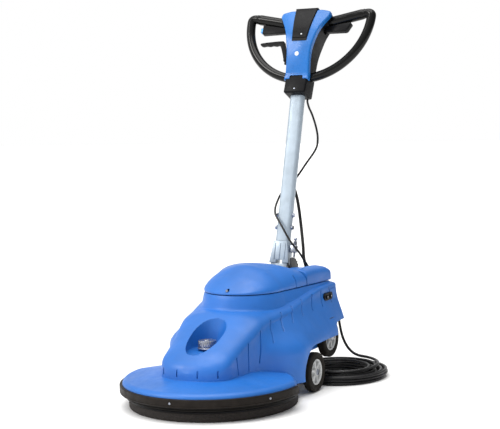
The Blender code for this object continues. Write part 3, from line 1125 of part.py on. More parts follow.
def build_mains():
    gland = turned([(0.0, HOOD_REAR - 0.012), (0.0082, HOOD_REAR - 0.012), (0.0082, HOOD_REAR + GAP),
                    (0.0130, HOOD_REAR + GAP),
                    (0.0130, HOOD_REAR + 0.004), (0.0095, HOOD_REAR + 0.006), (0.0062, GLAND_END_Y),
                    (0.0, GLAND_END_Y)],
                   20, "Y", (GLAND_X, 0.0, GLAND_Z))
    to_object("cord_gland", gland, MAT["rubber"])
    cord("mains_cord", MAINS_ROUTE, CORD_R, 0.022, MAT["rubber"])
    ring = turned([(COIL_IN_R, 0.0), (COIL_OUT_R - 0.008, 0.0), (COIL_OUT_R, 0.008),
                   (COIL_OUT_R, COIL_H - 0.012), (COIL_OUT_R - 0.012, COIL_H), (COIL_IN_R + 0.006, COIL_H),
                   (COIL_IN_R, COIL_H - 0.006)], 32, "Z", (COIL_X, COIL_Y, 0.0))
    to_object("mains_coil", ring, MAT["rubber"])
    lie = empty("plug_frame", (PLUG_X, PLUG_Y, PLUG_Z), 0.0, MACHINE)
    lie.rotation_euler = (0.0, 0.0, PLUG_TURN)
    plug = turned([(0.0, 0.0), (0.0058, 0.0), (0.0090, 0.028), (0.0165, 0.032), (0.0182, 0.040),
                   (0.0182, 0.062), (0.0, 0.062)],
                  20, "Y")
    plug_obj = to_object("mains_plug", plug, MAT["black"], parent=lie)
    pins = [cylinder(0.0024, 0.055, 0.081, 12, "Y", (side * 0.0095, 0.0, 0.0)) for side in (-1, 1)]
    boolean(plug_obj, cutter("plug_pins", merged(*pins), lie), "UNION")


def main():
    build_body()
    build_lids()
    build_deck()
    build_pad()
    build_motor()
    build_adjuster()
    build_chassis()
    build_wheels()
    build_breakers()
    column = build_column()
    build_head(column)
    build_leads()
    build_mains()


clear_scene()
MAT = {
    "blue": material("blue", (0.06, 0.24, 0.75), 0.42),
    "black": material("black", (0.02, 0.02, 0.022), 0.45),
    "gloss_black": material("gloss_black", (0.012, 0.012, 0.013), 0.18),
    "rubber": material("rubber", (0.018, 0.018, 0.018), 0.75),
    "pad": material("pad", (0.05, 0.035, 0.03), 0.95),
    "grey": material("grey", (0.45, 0.46, 0.47), 0.5),
    "steel": material("steel", (0.55, 0.56, 0.58), 0.35, 1.0),
    "chrome": material("chrome", (0.75, 0.76, 0.78), 0.12, 1.0),
    "aluminium": material("aluminium", (0.6, 0.61, 0.62), 0.4, 1.0),
    "light_blue": material("light_blue", (0.10, 0.42, 0.85), 0.35),
    "silver": material("silver", (0.62, 0.66, 0.70), 0.35, 0.3),
    "motor": material("motor", (0.10, 0.11, 0.12), 0.5),
    "cutter": material("cutter", (1.0, 0.3, 0.1), 0.5),
}
MACHINE = empty("machine", (0.0, MACHINE_Y, 0.0))
main()
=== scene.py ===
"""Looks of the corded floor burnisher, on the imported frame.

Shapes are worked out about the polishing pad's own axis and shifted to the frame's pad by SHIFT. The column's
pieces are worked out along the column from the handle's hinge, and the head's in the head's own plane.
"""

import json
import math
import random

import bmesh
import bpy
from mathutils import Matrix, Vector


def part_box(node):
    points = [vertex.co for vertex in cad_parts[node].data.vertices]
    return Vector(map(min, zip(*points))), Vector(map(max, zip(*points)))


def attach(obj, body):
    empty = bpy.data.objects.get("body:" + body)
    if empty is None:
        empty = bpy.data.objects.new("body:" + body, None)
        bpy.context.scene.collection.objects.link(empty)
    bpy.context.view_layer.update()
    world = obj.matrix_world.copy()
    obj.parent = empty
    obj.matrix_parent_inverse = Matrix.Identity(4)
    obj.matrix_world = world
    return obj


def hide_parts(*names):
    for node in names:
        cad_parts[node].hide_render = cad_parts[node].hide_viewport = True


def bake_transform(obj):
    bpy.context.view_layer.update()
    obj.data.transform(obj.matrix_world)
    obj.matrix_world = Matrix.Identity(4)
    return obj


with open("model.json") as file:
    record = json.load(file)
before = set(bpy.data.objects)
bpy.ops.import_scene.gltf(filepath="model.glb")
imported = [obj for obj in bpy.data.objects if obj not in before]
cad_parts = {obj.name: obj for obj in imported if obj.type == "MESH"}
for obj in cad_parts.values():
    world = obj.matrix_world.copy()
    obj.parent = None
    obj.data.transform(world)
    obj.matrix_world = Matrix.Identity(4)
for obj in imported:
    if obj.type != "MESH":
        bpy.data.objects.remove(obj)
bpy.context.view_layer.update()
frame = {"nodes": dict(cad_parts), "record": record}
NODES = frame["nodes"]


def middle(node):
    low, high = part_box(node)
    return (Vector(low) + Vector(high)) / 2


PAD = middle("polishing_pad")
SHIFT = Matrix.Translation((0.0, PAD.y, 0.0))
HINGE = middle("hinge_pin")
COLUMN_TILT = math.radians(17.0)
HEAD_TILT = math.radians(25.0)
COLLAR_AT = 0.617
COLUMN = Matrix.Translation((0.0, HINGE.y, HINGE.z)) @ Matrix.Rotation(-COLUMN_TILT, 4, "X")
HEAD = COLUMN @ Matrix.Translation((0.0, 0.0, COLLAR_AT)) @ Matrix.Rotation(COLUMN_TILT - HEAD_TILT, 4, "X")
GAP = 0.0003


# ---------------------------------------------------------------- camera, light and floor

CAMERA_AT = (1.8558, PAD.y - 3.3937, 0.9024)
CAMERA_PAN, CAMERA_DOWN, CAMERA_ROLL = 26.83, 5.02, -1.63
SENSOR_MM, LENS_MM = 36.0, 94.16


def look():
    cam = bpy.data.objects.new("camera", bpy.data.cameras.new("camera"))
    bpy.context.scene.collection.objects.link(cam)
    turn = Matrix.Identity(4)
    for degrees, axis in ((CAMERA_PAN, "Z"), (90.0 - CAMERA_DOWN, "X"), (CAMERA_ROLL, "Z")):
        turn = turn @ Matrix.Rotation(math.radians(degrees), 4, axis)
    cam.matrix_world = Matrix.Translation(CAMERA_AT) @ turn
    cam.data.sensor_width = SENSOR_MM
    cam.data.lens = LENS_MM
    bpy.context.scene.camera = cam


def sun(name, source, strength, spread, colour):
    """Wide soft light from a direction."""
    data = bpy.data.lights.new(name, "SUN")
    data.energy = strength
    data.angle = math.radians(spread)
    data.color = colour
    obj = bpy.data.objects.new(name, data)
    obj.rotation_euler = Vector(source).to_track_quat("Z", "Y").to_euler()
    bpy.context.scene.collection.objects.link(obj)


def facing(nodes, links, towards, start, end, low, high):
    """Brightness that rises from low to high as a direction turns towards the one given."""
    place = nodes.new("ShaderNodeTexCoord").outputs["Generated"]
    along = nodes.new("ShaderNodeVectorMath")
    along.operation = "DOT_PRODUCT"
    along.inputs[1].default_value = Vector(towards).normalized()
    links.new(place, along.inputs[0])
    span = nodes.new("ShaderNodeMapRange")
    span.interpolation_type = "SMOOTHSTEP"
    for name, value in (("From Min", start), ("From Max", end), ("To Min", low), ("To Max", high)):
        span.inputs[name].default_value = value
    links.new(along.outputs["Value"], span.inputs["Value"])
    return span.outputs["Result"]


def studio():
    """Bright room to the front left, dimmer to the right, with a white backdrop and a soft lamp overhead."""
    world = bpy.data.worlds.new("studio")
    world.use_nodes = True
    nodes, links = world.node_tree.nodes, world.node_tree.links
    room = facing(nodes, links, (-0.70, -0.35, 0.62), -0.9, 0.9, 0.20, 0.82)
    backdrop = facing(nodes, links, (-0.45, 0.89, -0.05), 0.80, 0.93, 0.0, 1.0)
    brighter = nodes.new("ShaderNodeMath")
    brighter.operation = "MAXIMUM"
    links.new(room, brighter.inputs[0])
    links.new(backdrop, brighter.inputs[1])
    links.new(brighter.outputs["Value"], nodes["Background"].inputs["Strength"])
    nodes["Background"].inputs["Color"].default_value = (1.0, 1.0, 1.0, 1.0)
    bpy.context.scene.world = world
    bpy.context.scene.view_settings.view_transform = "Standard"
    sun("overhead", (-0.04, -0.12, 1.0), 2.15, 50.0, (1.0, 0.99, 0.97))
    sun("key", (-0.62, -0.66, 0.62), 1.25, 22.0, (1.0, 0.98, 0.95))
    bpy.ops.mesh.primitive_plane_add(size=40.0, location=(0.0, 0.0, -0.0004))
    floor = bpy.context.object
    floor.name = "floor"
    mat, shader, _, links = blank("floor_paint")
    shader.inputs["Base Color"].default_value = (0.95, 0.95, 0.95, 1.0)
    shader.inputs["Roughness"].default_value = 0.9
    floor.data.materials.append(mat)


# ---------------------------------------------------------------- materials

def blank(name):
    mat = bpy.data.materials.new(name)
    mat.use_nodes = True
    tree = mat.node_tree
    return mat, tree.nodes["Principled BSDF"], tree.nodes, tree.links


def noise(nodes, links, scale, detail=3.0, rough=0.55, stretch=None):
    """Noise in the object's own coordinates, so it stays on a piece that moves."""
    place = nodes.new("ShaderNodeTexCoord").outputs["Object"]
    if stretch:
        mapping = nodes.new("ShaderNodeMapping")
        mapping.inputs["Scale"].default_value = stretch
        links.new(place, mapping.inputs["Vector"])
        place = mapping.outputs["Vector"]
    tex = nodes.new("ShaderNodeTexNoise")
    tex.inputs["Scale"].default_value = scale
    tex.inputs["Detail"].default_value = detail
    tex.inputs["Roughness"].default_value = rough
    links.new(place, tex.inputs["Vector"])
    return tex.outputs["Fac"]


def ramp(nodes, links, value, low, high, start=0.35, end=0.65):
    stops = nodes.new("ShaderNodeValToRGB")
    stops.color_ramp.elements[0].position = start
    stops.color_ramp.elements[1].position = end
    stops.color_ramp.elements[0].color = (*low, 1.0) if isinstance(low, tuple) else (low, low, low, 1.0)
    stops.color_ramp.elements[1].color = (*high, 1.0) if isinstance(high, tuple) else (high, high, high, 1.0)
    links.new(value, stops.inputs["Fac"])
    return stops.outputs["Color"]


def mix(nodes, links, fac, a, b, blend="MIX"):
    node = nodes.new("ShaderNodeMix")
    node.data_type = "RGBA"
    node.blend_type = blend
    for socket, value in ((node.inputs[0], fac), (node.inputs[6], a), (node.inputs[7], b)):
        if isinstance(value, bpy.types.NodeSocket):
            links.new(value, socket)
        else:
            socket.default_value = value
    return node.outputs[2]


def relief(nodes, links, shader, layers, rounding=0.0):
    """Chain bump layers (height, strength, distance) on to the shader, over softened edges."""
    normal = None
    if rounding:
        soft = nodes.new("ShaderNodeBevel")
        soft.samples = 4
        soft.inputs["Radius"].default_value = rounding
        normal = soft.outputs["Normal"]
    for height, strength, distance in layers:
        bump = nodes.new("ShaderNodeBump")
        bump.inputs["Strength"].default_value = strength
        bump.inputs["Distance"].default_value = distance
        links.new(height, bump.inputs["Height"])
        if normal:
            links.new(normal, bump.inputs["Normal"])
        normal = bump.outputs["Normal"]
    if normal:
        links.new(normal, shader.inputs["Normal"])


def shade(value, factor):
    return tuple(min(c * factor, 1.0) for c in value)


def moulded(name, colour, rough, grain=0.25, dust=0.10, rounding=0.0012, coat=0.0, shine=0.5):
    """Moulded plastic: slight tone drift, fine grain, faint dust and a soft edge."""
    mat, shader, nodes, links = blank(name)
    drift = ramp(nodes, links, noise(nodes, links, 7.0), shade(colour, 0.90), shade(colour, 1.08))
    specks = ramp(nodes, links, noise(nodes, links, 160.0, 4.0, 0.75), 0.0, 1.0, 0.60, 0.72)
    pale = tuple(0.6 * c + 0.4 * 0.8 for c in colour)
    dusty = mix(nodes, links, mix(nodes, links, dust, (0, 0, 0, 1), specks), drift, (*pale, 1.0))
    links.new(dusty, shader.inputs["Base Color"])
    gloss = ramp(nodes, links, noise(nodes, links, 22.0, 5.0, 0.7), max(rough - 0.07, 0.02), rough + 0.09)
    links.new(gloss, shader.inputs["Roughness"])
    shader.inputs["Specular IOR Level"].default_value = shine
    shader.inputs["Coat Weight"].default_value = coat
    shader.inputs["Coat Roughness"].default_value = 0.12
    relief(nodes, links, shader, ((noise(nodes, links, 16.0, 2.0), 0.12, 0.004),
                                  (noise(nodes, links, 1500.0, 2.0), grain, 0.00015)), rounding)
    return mat


def metal(name, colour, rough, stretch=None, grain=0.2, metallic=1.0, smudge=0.06, rounding=0.0006):
    """Metal or metallic paint with smudges, and a drawn grain where stretch is given."""
    mat, shader, nodes, links = blank(name)
    shader.inputs["Metallic"].default_value = metallic
    tone = ramp(nodes, links, noise(nodes, links, 28.0, 4.0), shade(colour, 0.88), shade(colour, 1.05))
    links.new(tone, shader.inputs["Base Color"])
    gloss = ramp(nodes, links, noise(nodes, links, 60.0, 4.0, 0.7, stretch), max(rough - smudge, 0.03),
                 rough + smudge)
    links.new(gloss, shader.inputs["Roughness"])
    relief(nodes, links, shader, ((noise(nodes, links, 420.0, 3.0, 0.6, stretch), grain, 0.0001),), rounding)
    return mat


def rubber(name, colour, rough, grain=0.5, scale=700.0, dust=0.15, shine=0.2):
    mat, shader, nodes, links = blank(name)
    worn = ramp(nodes, links, noise(nodes, links, 35.0, 5.0, 0.7), shade(colour, 0.8), shade(colour, 1.5),
                0.4, 0.75)
    film = ramp(nodes, links, noise(nodes, links, 9.0, 3.0), 0.0, dust, 0.45, 0.8)
    links.new(mix(nodes, links, film, worn, (0.16, 0.14, 0.12, 1.0)), shader.inputs["Base Color"])
    links.new(ramp(nodes, links, noise(nodes, links, 50.0), rough - 0.1, min(rough + 0.1, 1.0)),
              shader.inputs["Roughness"])
    shader.inputs["Specular IOR Level"].default_value = shine
    relief(nodes, links, shader, ((noise(nodes, links, scale, 3.0), grain, 0.0003),), 0.0006)
    return mat


def fibre(name):
    """Open nonwoven pad: dark tangled fibres with paler resin specks."""
    mat, shader, nodes, links = blank(name)
    strands = noise(nodes, links, 240.0, 8.0, 0.8, (1.0, 1.0, 3.0))
    colour = ramp(nodes, links, strands, (0.006, 0.005, 0.005), (0.055, 0.045, 0.04), 0.4, 0.7)
    links.new(colour, shader.inputs["Base Color"])
    shader.inputs["Roughness"].default_value = 0.95
    relief(nodes, links, shader, ((strands, 0.9, 0.002),))
    return mat


BLUE = moulded("body_blue", (0.013, 0.138, 0.500), 0.42, 0.22, 0.03, 0.0022)
COVER_BLUE = moulded("cover_blue", (0.014, 0.155, 0.510), 0.30, 0.08, 0.02, 0.0015, 0.15, 0.35)
BUTTON_BLUE = moulded("button_blue", (0.07, 0.36, 0.85), 0.30, 0.1, 0.03, 0.0008)
BLACK = moulded("satin_black", (0.005, 0.005, 0.006), 0.38, 0.25, 0.006, 0.0010, 0.0, 0.10)
INSERT = moulded("insert_black", (0.006, 0.006, 0.007), 0.30, 0.40, 0.006, 0.0010, 0.0, 0.13)
GLOSS = moulded("gloss_black", (0.004, 0.004, 0.004), 0.15, 0.04, 0.003, 0.0, 0.0, 0.22)
DOT = moulded("pale_dot", (0.72, 0.76, 0.80), 0.35, 0.05, 0.03, 0.0)
KNOB = metal("knob_grey", (0.36, 0.38, 0.44), 0.26, None, 0.15, 0.85)
RIM = moulded("rim_grey", (0.52, 0.53, 0.53), 0.45, 0.25, 0.08, 0.0008)
TYRE = rubber("tyre_rubber", (0.014, 0.012, 0.010), 0.72, 0.5, 700.0, 0.06, 0.15)
BUMPER = rubber("bumper_rubber", (0.012, 0.009, 0.007), 0.50, 0.35, 900.0, 0.02, 0.14)
SKIRT = rubber("skirt_rubber", (0.006, 0.005, 0.004), 0.50, 0.35, 900.0, 0.01, 0.12)
CABLE = rubber("cable_rubber", (0.006, 0.006, 0.007), 0.36, 0.2, 900.0, 0.02, 0.3)
BELT = rubber("belt_rubber", (0.014, 0.014, 0.014), 0.7)
PAD_FIBRE = fibre("pad_fibre")
STEEL = metal("zinc_steel", (0.26, 0.28, 0.33), 0.34)
FRAME_STEEL = metal("frame_steel", (0.03, 0.03, 0.032), 0.45, None, 0.3, 0.1)
CHROME = metal("chrome", (0.40, 0.43, 0.50), 0.22, None, 0.06, 1.0, 0.05)
SILVER = metal("column_silver", (0.36, 0.43, 0.50), 0.40, (1.0, 1.0, 0.05), 0.15, 0.2, 0.08)
ALUMINIUM = metal("cast_aluminium", (0.55, 0.56, 0.57), 0.45, None, 0.5)
MOTOR_PAINT = metal("motor_paint", (0.05, 0.055, 0.06), 0.45, None, 0.6, 0.2)

FINISH = {"body_blue": BLUE, "button_blue": BUTTON_BLUE, "black_plastic": BLACK, "insert_plastic": INSERT,
          "handle_black": GLOSS, "bumper_rubber": BUMPER, "cable_rubber": CABLE, "belt_rubber": BELT,
          "pad_fibre": PAD_FIBRE, "tyre_rubber": TYRE, "rim_grey": RIM, "zinc_steel": STEEL,
          "frame_steel": FRAME_STEEL, "column_silver": SILVER, "chrome_steel": CHROME,
          "cast_aluminium": ALUMINIUM, "motor_iron": MOTOR_PAINT}
SLOT_OF = {part["node"]: part["material_slot"] for part in frame["record"]["subparts"]}
BODY_OF = {node: body for body, nodes in frame["record"]["behaviour"]["bodies"].items() for node in nodes}


def repaint_nodes():
    for name, obj in NODES.items():
        obj.data.materials.clear()
        obj.data.materials.append(FINISH[SLOT_OF[name]])


# ---------------------------------------------------------------- mesh tools

def moved(bm, matrix):
    bmesh.ops.transform(bm, matrix=matrix, verts=bm.verts)
    return bm


def finished(name, bm, mat, place=SHIFT, sharp=35.0):
    """Object in the row frame from a bmesh in one of the working frames."""
    moved(bm, place)
    bmesh.ops.recalc_face_normals(bm, faces=bm.faces)
    mesh = bpy.data.meshes.new(name)
    bm.to_mesh(mesh)
    bm.free()
    mesh.shade_smooth()
    mesh.set_sharp_from_angle(angle=math.radians(sharp))
    mesh.materials.append(mat)
    obj = bpy.data.objects.new(name, mesh)
    bpy.context.scene.collection.objects.link(obj)
    return obj


def cut_by(obj, bm, place=SHIFT, operation="DIFFERENCE"):
    """Add a Boolean; both sides are made of triangles, which are always flat."""
    tool = finished("tool", bm, obj.data.materials[0], place)
    for data in (obj.data, tool.data):
        flat = bmesh.new()
        flat.from_mesh(data)
        bmesh.ops.triangulate(flat, faces=[f for f in flat.faces if len(f.verts) > 3])
        flat.to_mesh(data)
        flat.free()
    mod = obj.modifiers.new("tool", "BOOLEAN")
    mod.operation = operation
    mod.solver = "EXACT"
    mod.object = tool


def settled(obj, sharp=35.0):
    """Apply the modifiers, drop the tools and shade again."""
    tools = [mod.object for mod in obj.modifiers if mod.type == "BOOLEAN"]
    mesh = bpy.data.meshes.new_from_object(obj.evaluated_get(bpy.context.evaluated_depsgraph_get()))
    obj.modifiers.clear()
    obj.data = mesh
    for tool in tools:
        bpy.data.objects.remove(tool)
    mesh.shade_smooth()
    mesh.set_sharp_from_angle(angle=math.radians(sharp))
    return obj


def soften(obj, width, segments=3, angle=35.0):
    mod = obj.modifiers.new("soften", "BEVEL")
    mod.width = width
    mod.segments = segments
    mod.limit_method = "ANGLE"
    mod.angle_limit = math.radians(angle)
    mod.use_clamp_overlap = True
    return settled(obj, 40.0)


def stands_for(obj, node, *others):
    """The piece replaces CAD nodes and rides on their body."""
    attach(obj, BODY_OF[node])
    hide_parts(node, *others)
    return obj


def detail(obj, node):
    """A small piece with no CAD node of its own, going with the one named."""
    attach(obj, BODY_OF[node])
    return obj


def loft(rings, closed=False):
    bm = bmesh.new()
    loops = [[bm.verts.new(p) for p in ring] for ring in rings]
    count = len(loops[0])
    pairs = list(zip(loops, loops[1:])) + ([(loops[-1], loops[0])] if closed else [])
    for low, high in pairs:
        for i in range(count):
            j = (i + 1) % count
            bm.faces.new((low[i], low[j], high[j], high[i]))
    if not closed:
        bm.faces.new(loops[0])
        bm.faces.new(loops[-1])
    return bm


AXES = {"Z": Matrix.Identity(4), "X": Matrix.Rotation(math.pi / 2, 4, "Y"),
        "Y": Matrix.Rotation(-math.pi / 2, 4, "X")}


def turned(profile, segments=64, axis="Z", centre=(0.0, 0.0, 0.0)):
    """Revolve a closed (radius, height) outline; points on the axis have radius 0."""
    bm = bmesh.new()
    rows = []
    for radius, height in profile:
        if radius == 0.0:
            rows.append([bm.verts.new((0.0, 0.0, height))])
            continue
        steps = [2.0 * math.pi * k / segments for k in range(segments)]
        rows.append([bm.verts.new((radius * math.cos(a), radius * math.sin(a), height)) for a in steps])
    for low, high in zip(rows, rows[1:] + rows[:1]):
        if len(low) == 1 and len(high) == 1:
            continue
        for k in range(segments):
            n = (k + 1) % segments
            corner = [low[k % len(low)], low[n % len(low)], high[n % len(high)], high[k % len(high)]]
            bm.faces.new(list(dict.fromkeys(corner)))
    return moved(bm, Matrix.Translation(centre) @ AXES[axis])


def drum(radius, low, high, axis="Z", centre=(0.0, 0.0, 0.0), edge=0.0, segments=48):
    """Solid round with rounded rims."""
    rim = arc(radius - edge, low + edge, edge, -90, 0) + arc(radius - edge, high - edge, edge, 0, 90)
    return turned([(0.0, low)] + rim + [(0.0, high)], segments, axis, centre)


def arc(x, z, radius, start, end, steps=5):
    """Points of an arc round (x, z), from start to end in degrees."""
    if radius <= 0.0:
        return [(x, z)]
    angles = [math.radians(start + (end - start) * k / steps) for k in range(steps + 1)]
    return [(x + radius * math.cos(a), z + radius * math.sin(a)) for a in angles]


def slab(low, high, edge=0.0, segments=3):
    bm = bmesh.new()
    bmesh.ops.create_cube(bm, size=1.0)
    size = [b - a for a, b in zip(low, high)]
    centre = [(a + b) / 2 for a, b in zip(low, high)]
    moved(bm, Matrix.Translation(centre) @ Matrix.Diagonal((*size, 1.0)))
    if edge:
        bmesh.ops.bevel(bm, geom=list(bm.edges), offset=edge, segments=segments, affect="EDGES", profile=0.5)
    return bm


def prism(outline, low, high, plane="YZ"):
    def point(a, b, c):
        return {"YZ": (c, a, b), "XZ": (a, c, b), "XY": (a, b, c)}[plane]
    return loft([[point(a, b, c) for a, b in outline] for c in (low, high)])


def joined(shapes):
    bm = bmesh.new()
    for shape in shapes:
        mesh = bpy.data.meshes.new("part")
        bmesh.ops.recalc_face_normals(shape, faces=shape.faces)
        shape.to_mesh(mesh)
        shape.free()
        bm.from_mesh(mesh)
        bpy.data.meshes.remove(mesh)
    return bm


def mirrored(outline):
    return list(outline) + [(-x, z) for x, z in reversed(outline) if x > 1e-6]


def smooth_step(value, start, end):
    t = min(max((value - start) / (end - start), 0.0), 1.0)
    return t * t * (3.0 - 2.0 * t)


def through(points, y):
    """Monotone cubic through (y, value) points."""
    if y <= points[0][0]:
        return points[0][1]
    if y >= points[-1][0]:
        return points[-1][1]
    spans = [(b[0] - a[0], (b[1] - a[1]) / (b[0] - a[0])) for a, b in zip(points, points[1:])]
    slopes = [spans[0][1]]
    for (_, before), (_, after) in zip(spans, spans[1:]):
        slopes.append(0.0 if before * after <= 0.0 else 2.0 * before * after / (before + after))
    slopes.append(spans[-1][1])
    k = next(i for i, p in enumerate(points[1:]) if y <= p[0])
    width = spans[k][0]
    t = (y - points[k][0]) / width
    (_, a), (_, b) = points[k], points[k + 1]
    return ((1 + 2 * t) * (1 - t) ** 2 * a + t * (1 - t) ** 2 * width * slopes[k]
            + t * t * (3 - 2 * t) * b + t * t * (t - 1) * width * slopes[k + 1])


def curve_through(route, spacing):
    """Points at an even spacing on a Catmull-Rom curve through the route."""
    knots = [Vector(p) for p in route]
    knots = [2 * knots[0] - knots[1]] + knots + [2 * knots[-1] - knots[-2]]
    fine = []
    for a, b, c, d in zip(knots, knots[1:], knots[2:], knots[3:]):
        for k in range(24):
            t = k / 24
            fine.append(0.5 * (2 * b + (c - a) * t + (2 * a - 5 * b + 4 * c - d) * t * t
                               + (3 * b - a - 3 * c + d) * t ** 3))
    fine.append(knots[-2])
    total = sum((q - p).length for p, q in zip(fine, fine[1:]))
    count = max(round(total / spacing), 2)
    points, travelled, target = [fine[0]], 0.0, total / count
    for p, q in zip(fine, fine[1:]):
        step = (q - p).length
        while travelled + step >= target and len(points) < count:
            points.append(p.lerp(q, (target - travelled) / step))
            target += total / count
        travelled += step
    return points + [fine[-1]]


def tube_along(points, radius, sides=14, closed=False):
    """Round tube of constant or varying radius along points, with no twist."""
    points = [Vector(p) for p in points]
    count = len(points)
    size = radius if callable(radius) else (lambda t: radius)
    side = None
    rings = []
    for k, p in enumerate(points):
        before = points[k - 1] if (k or closed) else p
        after = points[(k + 1) % count] if (k + 1 < count or closed) else p
        along = (after - before).normalized()
        if side is None:
            side = along.cross(Vector((0.3, 0.2, 0.9))).normalized()
        side = (side - along * side.dot(along)).normalized()
        up = along.cross(side)
        r = size(k / max(count - 1, 1))
        rings.append([p + r * (math.cos(a) * side + math.sin(a) * up)
                      for a in (2 * math.pi * s / sides for s in range(sides))])
    return loft(rings, closed)


# ---------------------------------------------------------------- mains cord and held leads

CORD_R = 0.0045
COIL_X, COIL_Y = 0.215, 0.467
GLAND_X, GLAND_Z, GLAND_END_Y = 0.150, 0.245, 0.5420
MAINS_ROUTE = ((0.150, GLAND_END_Y + GAP, 0.2450), (0.150, 0.560, 0.2445), (0.150, 0.583, 0.236),
               (0.151, 0.600, 0.214), (0.153, 0.607, 0.180), (0.157, 0.608, 0.145), (0.166, 0.607, 0.105),
               (0.182, 0.604, 0.074), (0.204, 0.599, 0.054), (0.228, 0.592, 0.0460), (0.248, 0.5845, 0.0452))
PLUG_X, PLUG_Y, PLUG_Z, PLUG_TURN = 0.0530, 0.467, 0.0185, math.radians(20.0)
COIL_TURNS = 15
LEAD_R, MOTOR_LEAD_R = 0.0035, 0.0052
CONTROL_ROUTE = ((0.0300, 0.6750, 0.8983), (0.0300, 0.6712, 0.8900), (0.0345, 0.6730, 0.870),
                 (0.0440, 0.6790, 0.843), (0.0570, 0.6790, 0.800), (0.0655, 0.6700, 0.762),
                 (0.0620, 0.6580, 0.728), (0.0340, 0.6360, 0.680), (0.0140, 0.6110, 0.641),
                 (-0.0090, 0.5930, 0.610), (-0.0340, 0.5830, 0.585), (-0.0410, 0.5680, 0.563),
                 (-0.0400, 0.5450, 0.541), (-0.0300, 0.5220, 0.520), (-0.0120, 0.5090, 0.499),
                 (0.0100, 0.4970, 0.473), (0.0300, 0.4890, 0.446), (0.0520, 0.4840, 0.420),
                 (0.0730, 0.4840, 0.396), (0.0840, 0.4920, 0.373), (0.0910, 0.5080, 0.350),
                 (0.0950, 0.5250, 0.322), (0.0960, 0.5320, 0.292), (0.0960, 0.5280, 0.270),
                 (0.0960, 0.5170, 0.2620), (0.0960, 0.5070, 0.2620))
MOTOR_ROUTE = ((-0.0120, 0.67928, 0.89804), (-0.0120, 0.67505, 0.88898), (-0.0128, 0.6690, 0.870),
               (-0.0145, 0.6615, 0.833), (-0.0150, 0.6480, 0.780), (-0.0150, 0.6330, 0.720),
               (-0.0130, 0.6220, 0.665), (-0.0100, 0.6135, 0.630), (0.0030, 0.6060, 0.600),
               (0.0170, 0.5950, 0.570), (0.0310, 0.5790, 0.532), (0.0460, 0.5600, 0.476),
               (0.0640, 0.5320, 0.416), (0.0720, 0.5190, 0.375), (0.0780, 0.5240, 0.340),
               (0.0790, 0.5320, 0.312), (0.0790, 0.5330, 0.286), (0.0785, 0.5280, 0.267),
               (0.0780, 0.5170, 0.2600), (0.0780, 0.5072, 0.2600))


def coil_points():
    """Turns of the loose coil: the top layer inwards, then three more layers out, in and out again."""
    first = math.atan2(MAINS_ROUTE[-1][1] - COIL_Y, MAINS_ROUTE[-1][0] - COIL_X)
    total = COIL_TURNS + (first - math.pi) / (2 * math.pi) + 1.0
    radii = ((0.0, 0.122), (0.35, 0.123), (2.2, 0.0905), (2.5, 0.0905), (6.6, 0.1490), (6.9, 0.1490),
             (11.0, 0.0910), (11.3, 0.0910), (total - 0.25, 0.1490), (total, 0.1620))
    heights = ((0.0, 0.0452), (0.5, 0.0372), (2.1, 0.0340), (2.6, 0.0245), (6.5, 0.0240), (7.0, 0.0150),
               (10.9, 0.0145), (11.4, 0.0049), (total - 0.30, 0.0049), (total, PLUG_Z))
    points = []
    steps = int(total * 48)
    for k in range(1, steps + 1):
        t = total * k / steps
        a = first - 2 * math.pi * t
        ends = smooth_step(t, 0.0, 0.6) * (1.0 - smooth_step(t, total - 0.5, total))
        loose = ends * (0.0022 * math.sin(2 * a + 1.9 * math.sin(0.43 * t))
                        + 0.0016 * math.sin(3 * a + 0.7 * t))
        r = through(radii, t) + loose
        points.append(Vector((COIL_X + r * math.cos(a), COIL_Y + r * math.sin(a), through(heights, t))))
    return points


def plug_place():
    return SHIFT @ Matrix.Translation((PLUG_X, PLUG_Y, PLUG_Z)) @ Matrix.Rotation(PLUG_TURN, 4, "Z")


